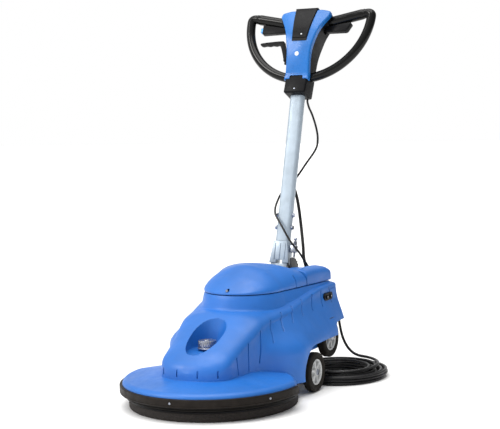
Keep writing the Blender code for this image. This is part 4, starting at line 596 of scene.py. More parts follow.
def mains():
    """Mains cord with its coil, gland and plug."""
    points = curve_through(MAINS_ROUTE, 0.010)[:-1] + coil_points()
    curve = bpy.data.curves.new("mains_lead", "CURVE")
    curve.dimensions = "3D"
    curve.bevel_depth = CORD_R
    curve.bevel_resolution = 3
    curve.use_fill_caps = True
    spline = curve.splines.new("POLY")
    spline.points.add(len(points) - 1)
    for spot, p in zip(spline.points, points):
        spot.co = (*(SHIFT @ p), 1.0)
    curve.materials.append(CABLE)
    lead = bpy.data.objects.new("mains_lead", curve)
    bpy.context.scene.collection.objects.link(lead)
    stands_for(lead, "mains_cord", "mains_coil")

    ribs = []
    for k in range(7):
        z = 0.009 + 0.0038 * k
        r = 0.0086 - 0.00032 * k
        ribs += [(r, z), (r + 0.0014, z + 0.0006), (r + 0.0014, z + 0.0020), (r, z + 0.0026)]
    low = [(0.0, -0.012), (0.0082, -0.012), (0.0082, 0.0), (0.0130, 0.0), (0.0130, 0.0036), (0.0118, 0.0046),
           (0.0092, 0.006)]
    wall = middle("cord_gland")
    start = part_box("cord_gland")[0][1] + 0.0123
    end = GLAND_END_Y - 0.5053
    sleeve = turned(low + ribs + [(0.0062, end), (0.0, end)], 32, "Y", (wall.x, start, wall.z))
    gland = finished("cord_relief", sleeve, BLACK, Matrix.Identity(4))
    stands_for(gland, "cord_gland")

    tail = [(0.0, 0.0), (0.0056, 0.0)]
    for k in range(5):
        z = 0.003 + 0.0048 * k
        r = 0.0060 + 0.0007 * k
        tail += [(r, z), (r + 0.0009, z + 0.0008), (r + 0.0009, z + 0.0030), (r, z + 0.0038)]
    grip = tail + [(0.0100, 0.029), (0.0140, 0.0315), (0.0165, 0.036), (0.0165, 0.048), (0.0172, 0.052)]
    grip += arc(0.0167, 0.0605, 0.0015, 0, 90) + [(0.0, 0.062)]
    plug = finished("mains_plug_body", turned(grip, 40, "Y"), BLACK, plug_place())
    flats = [slab((side * 0.0146 - 0.004, 0.031, -0.012), (side * 0.0146 + 0.004, 0.047, 0.012), 0.0015)
             for side in (-1, 1)]
    cut_by(plug, joined(flats), plug_place())
    stands_for(settled(plug), "mains_plug")
    pins = joined([drum(0.0024, 0.058, 0.081, "Y", (side * 0.0095, 0.0, 0.0), 0.001, 20)
                   for side in (-1, 1)])
    metal_pins = finished("mains_plug_pins", pins, CHROME, plug_place())
    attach(metal_pins, BODY_OF["mains_plug"])


def leads():
    """Control and motor leads, held by the head and the rear wall."""
    for name, node, route, radius in (("control_lead", "control_cable", CONTROL_ROUTE, LEAD_R),
                                      ("motor_lead", "motor_cable", MOTOR_ROUTE, MOTOR_LEAD_R)):
        tube = finished(name, tube_along(curve_through(route, 0.005), radius, 12), CABLE)
        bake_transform(tube)
        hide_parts(node)
        x, _, z = route[-1]
        rim = [(radius + 0.0002, -0.001), (radius + 0.0040, -0.001), (radius + 0.0040, 0.0012),
               (radius + 0.0024, 0.0030), (radius + 0.0010, 0.0034), (radius + 0.0002, 0.0028)]
        detail(finished(f"{name}_grommet", turned(rim, 28, "Y", (x, 0.5065, z)), BLACK), "body_shell")


# ---------------------------------------------------------------- body, deck and lids

PAD_R, PAD_H, PAD_HOLE_R = 0.254, 0.026, 0.042
DRIVER_R, DRIVER_TOP = 0.2565, 0.0385
SKIRT_IN_R, SKIRT_OUT_R, SKIRT_LOW, SKIRT_TOP = 0.2588, 0.2652, 0.034, 0.0595
DECK_R, DECK_LOW, DECK_EDGE_Z, DECK_TOP, DECK_WALL = 0.272, 0.050, 0.070, 0.1005, 0.0062
DECK_RIM, DECK_SLOPE = 0.017, 0.032
# Rear ends of the deck's plan, from the half circle in to the flank.
DECK_LOBE = ((0.2695, 0.014), (0.2590, 0.034), (0.2420, 0.062), (0.2190, 0.090), (0.1930, 0.112),
             (0.1650, 0.126), (0.1450, 0.130))
BUMPER_IN_R, BUMPER_OUT_R, BUMPER_LOW, BUMPER_TOP = 0.2723, 0.2805, 0.0460, 0.0705
BUMPER_END_DEG, SKIRT_END_DEG = 1.0, -2.0
BUMPER_SCREW_DEG = (-88.0, -26.3)

HOOD_FRONT, HOOD_REAR = -0.160, 0.505
HOOD_NOSE_Y, HOOD_NOSE_HALF = -0.090, 0.115
HOOD_WIDTHS = ((-0.09, 0.115), (-0.034, 0.122), (0.05, 0.136), (0.137, 0.146), (0.234, 0.164), (0.40, 0.184),
               (0.505, 0.190))
HOOD_HEIGHTS = ((-0.160, 0.118), (-0.151, 0.139), (-0.137, 0.154), (-0.12, 0.1675), (-0.05, 0.202),
                (0.036, 0.245), (0.075, 0.262), (0.20, 0.276), (0.30, 0.289), (0.40, 0.3035), (0.505, 0.3070))
CROWN_FRONT, CROWN_REAR = 0.046, 0.020
WALL_DRAFT = math.tan(math.radians(6.0))
FAIRING_HALF, FAIRING_LOW = 0.236, 0.047
FAIRING_START_Y, FAIRING_END_Y, FAIRING_TOP_Z = 0.020, 0.165, 0.140
FAIRING_RISE = (0.210, 0.270)
TAIL_INSET = 0.012
HOOD_WALL = 0.0055
GROOVES, GROOVE_START_Y, GROOVE_PITCH = 10, -0.068, 0.058
GROOVE_FOOT_LEAN, GROOVE_TOP_LEAN = 0.028, 0.008
GROOVE_W, GROOVE_DEPTH = 0.0042, 0.0041
GROOVE_LOWS = ((-0.07, 0.103), (0.00, 0.106), (0.04, 0.130), (0.08, 0.174), (0.14, 0.202), (0.25, 0.229),
               (0.46, 0.243))
GROOVE_TOPS = ((-0.07, 0.154), (0.06, 0.219), (0.12, 0.240), (0.23, 0.264), (0.34, 0.284), (0.47, 0.294))
NOSE_GROOVES_X = (-0.090, -0.034, 0.034, 0.090)
INNER_WALL_HALF, HOLLOW_HALF = 0.1800, 0.1795
FLANK_HOLLOWS = ((0.040, 0.156, 0.0290, 0.0720), (0.150, 0.4320, 0.0285, 0.1650),
                 (0.205, 0.4315, 0.160, 0.2000))

SEAM_Z = 0.3075
LID_LOW = SEAM_Z + 0.0012
LID_FRONT_Y, LID_ROUND_Y = 0.0985, 0.230
LID_ROUND_HALF, LID_REAR_HALF, LID_REAR_Y = 0.130, 0.174, 0.504
LID_SPLIT_Y, LID_SPLIT_GAP, LID_WALL, LID_SLOT_Y = 0.362, 0.0045, 0.0045, 0.300
LID_EDGE = 0.0016
DOME_HEIGHTS = ((0.0985, 0.006), (0.112, 0.015), (0.135, 0.032), (0.17, 0.054), (0.23, 0.079), (0.30, 0.076),
                (0.362, 0.058))
REAR_LID_HEIGHTS = ((0.362, 0.048), (0.370, 0.052), (0.43, 0.053), (0.49, 0.050), (0.504, 0.043))
LID_VALLEY, LID_VALLEY_SPAN = 0.010, (0.085, 0.125)
NECK_FILLET, NECK_TAPER = 0.010, 0.012

WHEEL_R, WHEEL_W, RIM_R, AXLE_R = 0.061, 0.028, 0.040, 0.006
MAIN_Y, MAIN_X, MAIN_Z = 0.236, 0.225, WHEEL_R
TRANSPORT_Y, TRANSPORT_X, TRANSPORT_Z = 0.407, 0.2010, 0.136
TRANSPORT_WELL_R, TRANSPORT_WELL_X = 0.066, 0.2165
ARCH_R, WELL_IN_X = 0.084, 0.1865
SILL_Z, NOTCH_Y, TAIL_Z = 0.147, 0.412, 0.184
INNER_SILL_X, INNER_SILL_Z, INNER_SILL_END_Y = 0.150, 0.112, 0.468
REAR_OPENING_HALF, REAR_OPENING_Y = 0.165, HOOD_REAR - 0.060
OUTSIDE_X, BEHIND_Y = 0.30, 0.60
NOTCH_HALF, NOTCH_BLOCK_HALF, BAFFLE_HALF, NOTCH_FRONT_Y = 0.058, 0.066, 0.070, 0.440
KNOB_Y, KNOB_Z, KNOB_R, KNOB_H = -0.030, 0.180, 0.0275, 0.020
RECESS_HALF, RECESS_FLOOR_T = 0.046, 0.0045
BREAKER_Y, BREAKER_Z, BREAKER_LONG, BREAKER_HIGH, BREAKER_PITCH = 0.440, 0.2645, 0.064, 0.023, 0.028
BREAKER_BUTTON_R = 0.0072
# The last span holds the pale disc painted on each breaker button as its highlight.
BEZEL_X, BUTTON_WELL_X, BUTTON_PAINTED_HIGHLIGHT_X = (0.1760, 0.1925), (0.1780, 0.2000), (0.1955, 0.1963)


def hood_half(y):
    if y >= HOOD_NOSE_Y:
        return through(HOOD_WIDTHS, y)
    reach = (HOOD_NOSE_Y - y) / (HOOD_NOSE_Y - HOOD_FRONT)
    return HOOD_NOSE_HALF * max(1.0 - reach ** 2.2, 0.0) ** (1 / 2.2)


def hood_top(y):
    return through(HOOD_HEIGHTS, y)


def crown(y):
    depth = CROWN_FRONT + (CROWN_REAR - CROWN_FRONT) * smooth_step(y, 0.0, 0.42)
    return min(depth, 0.8 * (hood_top(y) - 0.098))


def crown_power(y):
    return 2.5 + 2.7 * smooth_step(y, 0.20, 0.45)


def hood_wall_x(y, z, flared=True):
    top = hood_top(y) - crown(y)
    half = hood_half(y) + WALL_DRAFT * max(top - z, 0.0) * smooth_step(y, -0.14, -0.05)
    if not flared:
        return half
    start = FAIRING_RISE[0] + (FAIRING_RISE[1] - FAIRING_RISE[0]) * smooth_step(y, 0.0, 0.27)
    widest = FAIRING_HALF - TAIL_INSET * smooth_step(y, 0.40, HOOD_REAR)
    flare = max(widest - half, 0.0) * smooth_step(y, FAIRING_START_Y, FAIRING_END_Y)
    return half + flare * smooth_step(start - z, 0.0, start - FAIRING_TOP_Z)


def hood_surface(x, y):
    """Height of the hood's top at a place."""
    shoulder = hood_top(y) - crown(y)
    wide = hood_wall_x(y, shoulder)
    if abs(x) >= wide:
        return shoulder
    power = crown_power(y)
    return shoulder + crown(y) * (1.0 - (abs(x) / wide) ** power) ** (1 / power)


def hood_ring(y, low, inset=0.0, flared=True, limit=1.0, walls=12, turns=18):
    depth = crown(y) - inset * 0.5
    power = crown_power(y)
    top = hood_top(y) - inset
    shoulder = top - depth
    half = []
    for k in range(walls):
        z = low + (shoulder - low) * k / walls
        half.append((min(hood_wall_x(y, z + inset, flared) - inset, limit), z))
    wide = min(hood_wall_x(y, shoulder + inset, flared) - inset, limit)
    for k in range(turns):
        x = wide * math.cos(math.pi / 2 * k / turns) ** 0.66
        half.append((x, shoulder + depth * (1.0 - (x / wide) ** power) ** (1 / power)))
    return [(x, y, z) for x, z in mirrored(half + [(0.0, top)])]


def hood_side_x(y, z):
    """Half width of the hood at a height, on its wall or on its crown."""
    shoulder = hood_top(y) - crown(y)
    if z <= shoulder:
        return hood_wall_x(y, z)
    rise = min((z - shoulder) / crown(y), 0.98)
    return hood_wall_x(y, shoulder) * (1.0 - rise ** crown_power(y)) ** (1 / crown_power(y))


def hood_low(y):
    return 0.078 + (FAIRING_LOW - 0.078) * smooth_step(y, 0.045, 0.075)


def spread(start, end, count, ease):
    return [start + (end - start) * (k / (count - 1)) ** ease for k in range(count)]


def even(start, end, count):
    return [start + (end - start) * k / (count - 1) for k in range(count)]


def hood_shape():
    front = spread(HOOD_FRONT + 0.0003, HOOD_NOSE_Y + 0.01, 20, 2.0)
    return loft([hood_ring(y, hood_low(y)) for y in front + even(HOOD_NOSE_Y + 0.01, HOOD_REAR, 66)[1:]])


def hood_cavity():
    front = spread(HOOD_FRONT + HOOD_WALL + 0.002, HOOD_NOSE_Y + 0.01, 5, 1.6)
    stations = front + even(HOOD_NOSE_Y + 0.01, HOOD_REAR - HOOD_WALL, 11)[1:]
    return loft([hood_ring(y, 0.030, HOOD_WALL, False, INNER_WALL_HALF, 4, 4) for y in stations])


def lid_half(y):
    if y < LID_ROUND_Y:
        reach = (LID_ROUND_Y - y) / (LID_ROUND_Y - LID_FRONT_Y)
        return LID_ROUND_HALF * max(1.0 - reach ** 2, 0.0) ** 0.5
    reach = (y - LID_ROUND_Y) / (LID_REAR_Y - LID_ROUND_Y)
    return LID_ROUND_HALF + (LID_REAR_HALF - LID_ROUND_HALF) * reach ** 0.85


def lid_plan(count=40):
    """Right half of the seam's plan outline with the outward direction at each point."""
    right = []
    for k in range(count + 1):
        t = math.pi / 2 * k / count
        y = LID_FRONT_Y + (LID_ROUND_Y - LID_FRONT_Y) * (1 - math.cos(t))
        right.append((lid_half(y), y, math.sin(t), -math.cos(t)))
    right += [(lid_half(y), y, 0.99, -0.12) for y in even(0.245, LID_REAR_Y - 0.012, 14)]
    right.append((lid_half(LID_REAR_Y) - 0.006, LID_REAR_Y - 0.003, 0.75, 0.0))
    right.append((lid_half(LID_REAR_Y) - 0.014, LID_REAR_Y, 0.3, 0.0))
    return right


def neck_level(rise, lower=None):
    """Ring of the neck: at rise 0 it lies on the hood, spread by the fillet, and at rise 1 it is the seam."""
    half = []
    for x, y, nx, ny in lid_plan():
        spread_by = NECK_FILLET + NECK_TAPER
        foot = min(hood_surface(x + nx * spread_by, y + ny * spread_by) - 0.002, SEAM_Z - 0.004)
        reach = min(NECK_FILLET, 0.9 * (SEAM_Z - foot))
        z = foot + (SEAM_Z - foot) * rise
        up = min((z - foot) / reach, 1.0)
        grow = reach * (1.0 - math.sqrt(max(1.0 - (1.0 - up) ** 2, 0.0))) + NECK_TAPER * (1.0 - rise)
        grow -= 0.0015 * smooth_step(rise, 0.85, 1.0)
        half.append((x + nx * grow, y + ny * grow, lower if lower else z))
    return half + [(-x, y, z) for x, y, z in reversed(half) if x > 1e-6]


def neck_shape():
    rises = [0.0, 0.06, 0.13, 0.21, 0.30, 0.40, 0.52, 0.66, 0.84, 0.93, 1.0]
    return loft([neck_level(0.0, 0.235)] + [neck_level(r) for r in rises])


def neck_cavity():
    half = [(x * (1 - 0.0075 / LID_ROUND_HALF), y + 0.0075 * -ny) for x, y, nx, ny in lid_plan(12)]
    ring = half + [(-x, y) for x, y in reversed(half) if x > 1e-6]
    return loft([[(x, min(y, LID_REAR_Y - 0.0075), z) for x, y in ring] for z in (0.235, SEAM_Z + 0.01)])


def lid_ring(y, inset=0.0, turns=18):
    rear = y >= LID_SPLIT_Y
    power = 6.0 if rear else 1.7 + 1.1 * smooth_step(y, 0.22, LID_SPLIT_Y)
    wide = max(lid_half(y) - inset, 0.002)
    high = max(through(REAR_LID_HEIGHTS if rear else DOME_HEIGHTS, y) - inset, 0.002)
    lip = 0.0 if inset else 0.006
    half = [(wide - (0.0 if inset else 0.0008), LID_LOW - 0.01 if inset else LID_LOW + LID_EDGE)]
    for k in range(turns):
        x = wide * math.cos(math.pi / 2 * k / turns) ** 0.75
        valley = LID_VALLEY * (1.0 - smooth_step(x, *LID_VALLEY_SPAN)) if rear else 0.0
        half.append((x, LID_LOW + lip + (high - lip) * (1.0 - (x / wide) ** power) ** (1 / power) - valley))
    return [(x, y, z) for x, z in mirrored(half + [(0.0, LID_LOW + high - (LID_VALLEY if rear else 0.0))])]


def deck_plan(steps):
    """Deck's plan outline with outward directions: a half circle whose ends curl in to the flanks."""
    front = [(DECK_R * math.cos(a), -DECK_R * math.sin(a)) for a in even(0.0, math.pi, steps + 1)]
    spots = front + [(-x, y) for x, y in DECK_LOBE] + list(reversed(DECK_LOBE))
    plan = []
    for k, (x, y) in enumerate(spots):
        before, after = spots[k - 1], spots[(k + 1) % len(spots)]
        along = Vector((after[0] - before[0], after[1] - before[1])).normalized()
        plan.append((x, y, -along.y, along.x))
    return plan


def deck_shape(steps, turns):
    """Deck's shell: a low cone, a rounded rim along the plan and a plain wall down into the bumper."""
    corners = [math.pi / 2 * (1 - k / turns) for k in range(turns + 1)]
    rim = [(DECK_RIM * (1 - math.sin(a)), 1.0, DECK_EDGE_Z + 0.0150 * math.cos(a)) for a in corners]
    slope = [(DECK_SLOPE, 1.0, 0.0870), (DECK_SLOPE, 0.69, 0.0970), (DECK_SLOPE, 0.54, DECK_TOP)]
    slope += [(DECK_SLOPE, 0.05, DECK_TOP), (DECK_SLOPE, 0.05, DECK_TOP - DECK_WALL)]
    under = [(DECK_SLOPE, 0.54, DECK_TOP - DECK_WALL), (DECK_SLOPE, 1.0, 0.0810),
             (DECK_WALL, 1.0, DECK_EDGE_Z - 0.004)]
    profile = [(DECK_WALL, 1.0, DECK_LOW), (0.0, 1.0, DECK_LOW)] + rim + slope + under
    plan = deck_plan(steps)
    rings = [[((x - nx * inset) * scale, (y - ny * inset) * scale, z) for x, y, nx, ny in plan]
             for inset, scale, z in profile]
    return loft(rings, closed=True)


def wheel_wells():
    shapes = []
    for side in (-1, 1):
        low, high = sorted((side * WELL_IN_X, side * OUTSIDE_X))
        shapes.append(drum(ARCH_R, low, high, "X", (0.0, MAIN_Y, MAIN_Z + 0.002), 0.0, 96))
        low, high = sorted((side * WELL_IN_X, side * TRANSPORT_WELL_X))
        shapes.append(drum(TRANSPORT_WELL_R, low, high, "X", (0.0, TRANSPORT_Y, TRANSPORT_Z), 0.0, 64))
    return joined(shapes)


def sill_cut():
    """Everything below the sill behind the main wheels, with the stepped notch before the tail."""
    outline = [(MAIN_Y, 0.0), (BEHIND_Y, 0.0), (BEHIND_Y, TAIL_Z), (NOTCH_Y + 0.022, TAIL_Z),
               (NOTCH_Y + 0.010, TAIL_Z - 0.006), (NOTCH_Y + 0.004, TAIL_Z - 0.020), (NOTCH_Y, SILL_Z),
               (MAIN_Y, SILL_Z)]
    inner = [(MAIN_Y, 0.0), (BEHIND_Y, 0.0), (BEHIND_Y, TAIL_Z), (INNER_SILL_END_Y, TAIL_Z),
             (INNER_SILL_END_Y, INNER_SILL_Z), (MAIN_Y, INNER_SILL_Z)]
    shapes = []
    for side in (-1, 1):
        shapes.append(prism(outline, *sorted((side * WELL_IN_X, side * OUTSIDE_X))))
        shapes.append(prism(inner, *sorted((side * INNER_SILL_X, side * (WELL_IN_X + 0.001)))))
    return shapes


def knob_recess(wall=0.0, steps=28):
    """Egg-shaped scoop round the knob, grown by a wall, that widens and leans back as it rises."""
    def egg(grow, z, lean):
        grow += wall
        half = []
        for k in range(steps + 1):
            t = k / steps
            y = KNOB_Y - 0.098 - grow + (0.158 + 2 * grow) * t
            reach = 1.0 - t / 0.6 if t < 0.6 else (t - 0.6) / 0.4
            half.append(((RECESS_HALF + grow) * math.sqrt(max(1.0 - reach ** 2, 0.0)), y + lean))
        ring = [(0.0, half[0][1])] + half[1:-1] + [(0.0, half[-1][1])]
        return [(x, y, z) for x, y in ring + [(-x, y) for x, y in ring[-2:0:-1]]]
    levels = ((-0.0090, -0.0158), (-0.0040, -0.0145), (0.0, -0.0110), (0.0022, -0.002), (0.0045, 0.015),
              (0.006, 0.035), (0.012, 0.082))
    return loft([egg(grow, KNOB_Z + up - wall, 0.004 * smooth_step(up, 0.0, 0.06)) for grow, up in levels])


def body_grooves():
    """Thin upright grooves down both flanks, and short ones round the foot of the nose."""
    shapes = []
    for k in range(GROOVES):
        bow = math.sin(math.pi * k / (GROOVES - 1))
        middle_y = GROOVE_START_Y + GROOVE_PITCH * k
        foot_y, top_y = middle_y - GROOVE_FOOT_LEAN * bow, middle_y + GROOVE_TOP_LEAN * bow
        low, top = through(GROOVE_LOWS, foot_y), through(GROOVE_TOPS, top_y)
        for side in (-1, 1):
            rings = []
            for t in even(0.0, 1.0, 9):
                y, z = foot_y + (top_y - foot_y) * t, low + (top - low) * t
                floor = side * (hood_side_x(y, z) - GROOVE_DEPTH)
                beyond = floor + side * 0.05
                rings.append([(floor, y - GROOVE_W / 2, z), (beyond, y - GROOVE_W / 2, z),
                              (beyond, y + GROOVE_W / 2, z), (floor, y + GROOVE_W / 2, z)])
            shapes.append(loft(rings))
    for x in NOSE_GROOVES_X:
        y = nose_y(x) + GROOVE_DEPTH
        shapes.append(slab((x - GROOVE_W / 2, y - 0.04, 0.1060), (x + GROOVE_W / 2, y, 0.1270)))
    return joined(shapes)


def nose_y(x):
    """Front of the hood's foot at a distance from the middle."""
    across = (abs(x) / HOOD_NOSE_HALF) ** 2.2
    return HOOD_NOSE_Y - (HOOD_NOSE_Y - HOOD_FRONT) * (1.0 - across) ** (1 / 2.2)


def breaker_oval(low, high, grow=0.0, steps=14):
    radius = BREAKER_HIGH / 2 + grow
    reach = BREAKER_LONG / 2 - BREAKER_HIGH / 2
    outline = []
    for end, start in ((1, -90), (-1, 90)):
        outline += arc(BREAKER_Y + end * reach, BREAKER_Z, radius, start, start + 180, steps)
    return prism(outline, low, high)


def body_holes():
    shapes = [drum(0.0065, 0.10, 0.24, "Z", (0.0, KNOB_Y, 0.0))]
    for side in (-1, 1):
        low, high = sorted((side * 0.160, side * 0.200))
        for y, z in ((MAIN_Y, MAIN_Z), (TRANSPORT_Y, TRANSPORT_Z)):
            shapes.append(drum(AXLE_R + 0.0015, low, high, "X", (0.0, y, z), 0.0, 24))
    shapes.append(slab((-0.0485, NOTCH_FRONT_Y - 0.012, 0.1895), (0.0485, NOTCH_FRONT_Y + 0.005, 0.1970)))
    shapes.append(drum(0.0085, HOOD_REAR - 0.03, HOOD_REAR + 0.02, "Y", (GLAND_X, 0.0, GLAND_Z), 0.0, 32))
    shapes.append(breaker_oval(0.165, 0.260, GAP))
    return joined(shapes)


def body():
    """Deck, hood and neck in one moulding, hollowed from below, with its wells, recess, grooves and holes."""
    shell = finished("body", deck_shape(110, 14), BLUE)
    cut_by(shell, hood_shape(), operation="UNION")
    cut_by(shell, neck_shape(), operation="UNION")
    hollow = finished("hollow", hood_cavity(), BLUE)
    for start, end, low, high in FLANK_HOLLOWS:
        cut_by(hollow, slab((-HOLLOW_HALF, start, low), (HOLLOW_HALF, end, high)), operation="UNION")
    cut_by(hollow, neck_cavity(), operation="UNION")
    cut_by(hollow, knob_recess(RECESS_FLOOR_T, 16))
    cut_by(hollow, slab((-NOTCH_BLOCK_HALF, NOTCH_FRONT_Y - 0.008, 0.02), (NOTCH_BLOCK_HALF, 0.56, 0.40)))
    settled(hollow)
    mod = shell.modifiers.new("hollow", "BOOLEAN")
    mod.operation, mod.solver, mod.object = "DIFFERENCE", "EXACT", hollow
    cut_by(shell, wheel_wells())
    for shape in sill_cut():
        cut_by(shell, shape)
    cut_by(shell, slab((-NOTCH_HALF, NOTCH_FRONT_Y, 0.10), (NOTCH_HALF, BEHIND_Y, 0.40)))
    cut_by(shell, slab((-REAR_OPENING_HALF, REAR_OPENING_Y, 0.02),
                       (REAR_OPENING_HALF, BEHIND_Y, SILL_Z + 0.01)))
    cut_by(shell, slab((-BAFFLE_HALF, NOTCH_FRONT_Y - 0.012, 0.0),
                       (BAFFLE_HALF, NOTCH_FRONT_Y + 0.010, SILL_Z + 0.01)))
    cut_by(shell, knob_recess())
    cut_by(shell, body_grooves())
    cut_by(shell, body_holes())
    stands_for(settled(shell, 30.0), "body_shell")


def lids():
    """Domed motor cover, rear cover and the breakers on the flank."""
    end = LID_SPLIT_Y - LID_SPLIT_GAP
    dome = finished("dome", loft([lid_ring(y) for y in spread(LID_FRONT_Y + 0.0002, end, 46, 1.9)]), BLUE)
    cut_by(dome, loft([lid_ring(y, LID_WALL, 6)
                       for y in spread(LID_FRONT_Y + LID_WALL, end - LID_WALL, 8, 1.5)]))
    slots = []
    for side in (-1, 1):
        x = side * (lid_half(LID_SLOT_Y) - 0.012)
        slots.append(slab((x - 0.012, LID_SLOT_Y - 0.0018, LID_LOW - 0.005),
                          (x + 0.014, LID_SLOT_Y + 0.0018, LID_LOW + 0.040)))
    cut_by(dome, joined(slots))
    screw_at = (0.0, 0.0, LID_LOW + 0.0135)
    cut_by(dome, drum(0.0048, LID_FRONT_Y - 0.02, LID_FRONT_Y + 0.030, "Y", screw_at, 0.0, 32))
    stands_for(settled(dome, 50.0), "motor_cover")
    screw = drum(0.0042, LID_FRONT_Y + 0.004, LID_FRONT_Y + 0.008, "Y", screw_at, 0.001, 24)
    screw = finished("dome_screw", screw, STEEL)
    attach(screw, "machine")

    rear = finished("rear_lid", loft([lid_ring(y) for y in even(LID_SPLIT_Y, LID_REAR_Y, 26)]), BLUE)
    cut_by(rear, loft([lid_ring(y, LID_WALL, 6)
                       for y in even(LID_SPLIT_Y + LID_WALL, LID_REAR_Y - LID_WALL, 4)]))
    cut_by(rear, slab((-NOTCH_HALF, NOTCH_FRONT_Y - 0.006, 0.28), (NOTCH_HALF, BEHIND_Y, 0.42)))
    stands_for(settled(rear, 50.0), "rear_cover")

    bezel = finished("bezel", breaker_oval(*BEZEL_X), BLACK)
    spots = [BREAKER_Y + side * BREAKER_PITCH / 2 for side in (-1, 1)]
    for y in spots:
        cut_by(bezel, drum(BREAKER_BUTTON_R + GAP, *BUTTON_WELL_X, "X", (0.0, y, BREAKER_Z), 0.0, 32))
    stands_for(soften(settled(bezel), 0.0008), "breaker_bezel")
    for index, y in enumerate(spots):
        node = f"breaker_button_{index + 1}"
        outline = [(0.0, 0.1825)] + arc(BREAKER_BUTTON_R - 0.001, 0.1835, 0.001, -90, 0)
        outline += arc(BREAKER_BUTTON_R - 0.0016, 0.1949, 0.0016, 0, 90)
        outline += [(0.0030, 0.1965), (0.0022, 0.1957), (0.0, 0.1957)]
        stands_for(finished(f"{node}_cap", turned(outline, 32, "X", (0.0, y, BREAKER_Z)), BLACK), node)
        # The pale disc at each button's centre is a painted highlight, not a mark on the button.
        dot = drum(0.0020, *BUTTON_PAINTED_HIGHLIGHT_X, "X", (0.0, y, BREAKER_Z), 0.0003, 20)
        detail(finished(f"{node}_dot", dot, DOT), node)


def ring_round(profile, reach, segments=120):
    """Ring of the given (radius, height) section round the pad, open at the back."""
    start, end = math.radians(-180.0 - reach), math.radians(reach)
    angles = [start + (end - start) * k / segments for k in range(segments + 1)]
    return loft([[(r * math.cos(a), r * math.sin(a), z) for r, z in profile] for a in angles])


def deck():
    """Bumper with its screws, dust skirt, pad and pad holder."""
    out, low, top = BUMPER_OUT_R, BUMPER_LOW, BUMPER_TOP

    def outwards(place, radius):
        spot = place * radius + Vector((0.0, 0.0, (low + top) / 2))
        return Matrix.Translation(spot) @ place.to_track_quat("Z", "Y").to_matrix().to_4x4()

    line = out - 0.0008
    section = [(BUMPER_IN_R, low)] + arc(out - 0.003, low + 0.003, 0.003, -90, 0)
    section += [(out, low + 0.0050), (line, low + 0.0056), (line, low + 0.0064), (out, low + 0.0070)]
    section += [(out, top - 0.0036)] + arc(out - 0.003, top - 0.003, 0.003, 0, 90) + [(BUMPER_IN_R, top)]
    bumper = finished("bumper", ring_round(section, BUMPER_END_DEG), BUMPER)
    places = [Vector((math.cos(a), math.sin(a), 0.0)) for a in map(math.radians, BUMPER_SCREW_DEG)]
    for place in places:
        cut_by(bumper, moved(drum(0.0044, 0.0, 0.03), outwards(place, out - 0.003)))
    stands_for(settled(bumper), "bumper_ring")
    for index, place in enumerate(places):
        head = turned([(0.0, 0.0), (0.0038, 0.0), (0.0038, 0.0010)] + arc(0.0026, 0.0010, 0.0012, 0, 90)
                      + [(0.0, 0.0019)], 24)
        turn = outwards(place, out - 0.0027)
        screw = finished(f"bumper_screw_head_{index + 1}", moved(head, turn), CHROME)
        for lean in (0.0, math.pi / 2):
            slot = slab((-0.0022, -0.0004, 0.0010), (0.0022, 0.0004, 0.004))
            cut_by(screw, moved(slot, turn @ Matrix.Rotation(lean + 0.4, 4, "Z")))
        stands_for(settled(screw), f"bumper_screw_{index + 1}")
    lips = [(SKIRT_IN_R, SKIRT_LOW), (SKIRT_OUT_R - 0.001, SKIRT_LOW), (SKIRT_OUT_R, SKIRT_LOW + 0.001)]
    for k in range(4):
        z = SKIRT_LOW + 0.004 + 0.0045 * k
        lips += [(SKIRT_OUT_R, z), (SKIRT_OUT_R - 0.0009, z + 0.0008), (SKIRT_OUT_R - 0.0009, z + 0.0018),
                 (SKIRT_OUT_R, z + 0.0026)]
    lips += [(SKIRT_OUT_R, SKIRT_TOP), (SKIRT_IN_R, SKIRT_TOP)]
    stands_for(finished("skirt", ring_round(lips, SKIRT_END_DEG), SKIRT), "dust_skirt")

    rng = random.Random(7)
    edge = [(PAD_HOLE_R, 0.0), (PAD_HOLE_R + 0.004, 0.0)] + [(r, 0.0) for r in even(0.06, 0.245, 14)]
    edge += arc(PAD_R - 0.004, 0.004, 0.004, -90, 0, 3) + [(PAD_R, z) for z in even(0.006, PAD_H - 0.003, 7)]
    edge += [(PAD_R - 0.002, PAD_H)] + [(r, PAD_H) for r in even(0.23, PAD_HOLE_R, 8)]
    pad = turned(edge, 300)
    for v in pad.verts:
        reach = math.hypot(v.co.x, v.co.y)
        if reach > PAD_HOLE_R + 0.001 and v.co.z < PAD_H - 0.0001:
            v.co.x *= 1.0 - rng.random() * 0.0012 / reach
            v.co.y *= 1.0 - rng.random() * 0.0012 / reach
            v.co.z += rng.random() * 0.0008
    stands_for(finished("pad", pad, PAD_FIBRE, SHIFT, 80.0), "polishing_pad")
    low = PAD_H + GAP
    holder = [(0.034, low), (DRIVER_R - 0.001, low), (DRIVER_R, low + 0.001), (DRIVER_R, low + 0.004)]
    holder += [(DRIVER_R - 0.0012, low + 0.0056), (DRIVER_R - 0.010, DRIVER_TOP), (0.090, DRIVER_TOP),
               (0.060, DRIVER_TOP)]
    holder += [(0.048, 0.0535), (0.0258, 0.0535), (0.0258, 0.0475), (0.034, 0.0475)]
    stands_for(finished("pad_holder", turned(holder, 144), BLACK), "pad_driver")


# ---------------------------------------------------------------- knob and wheels

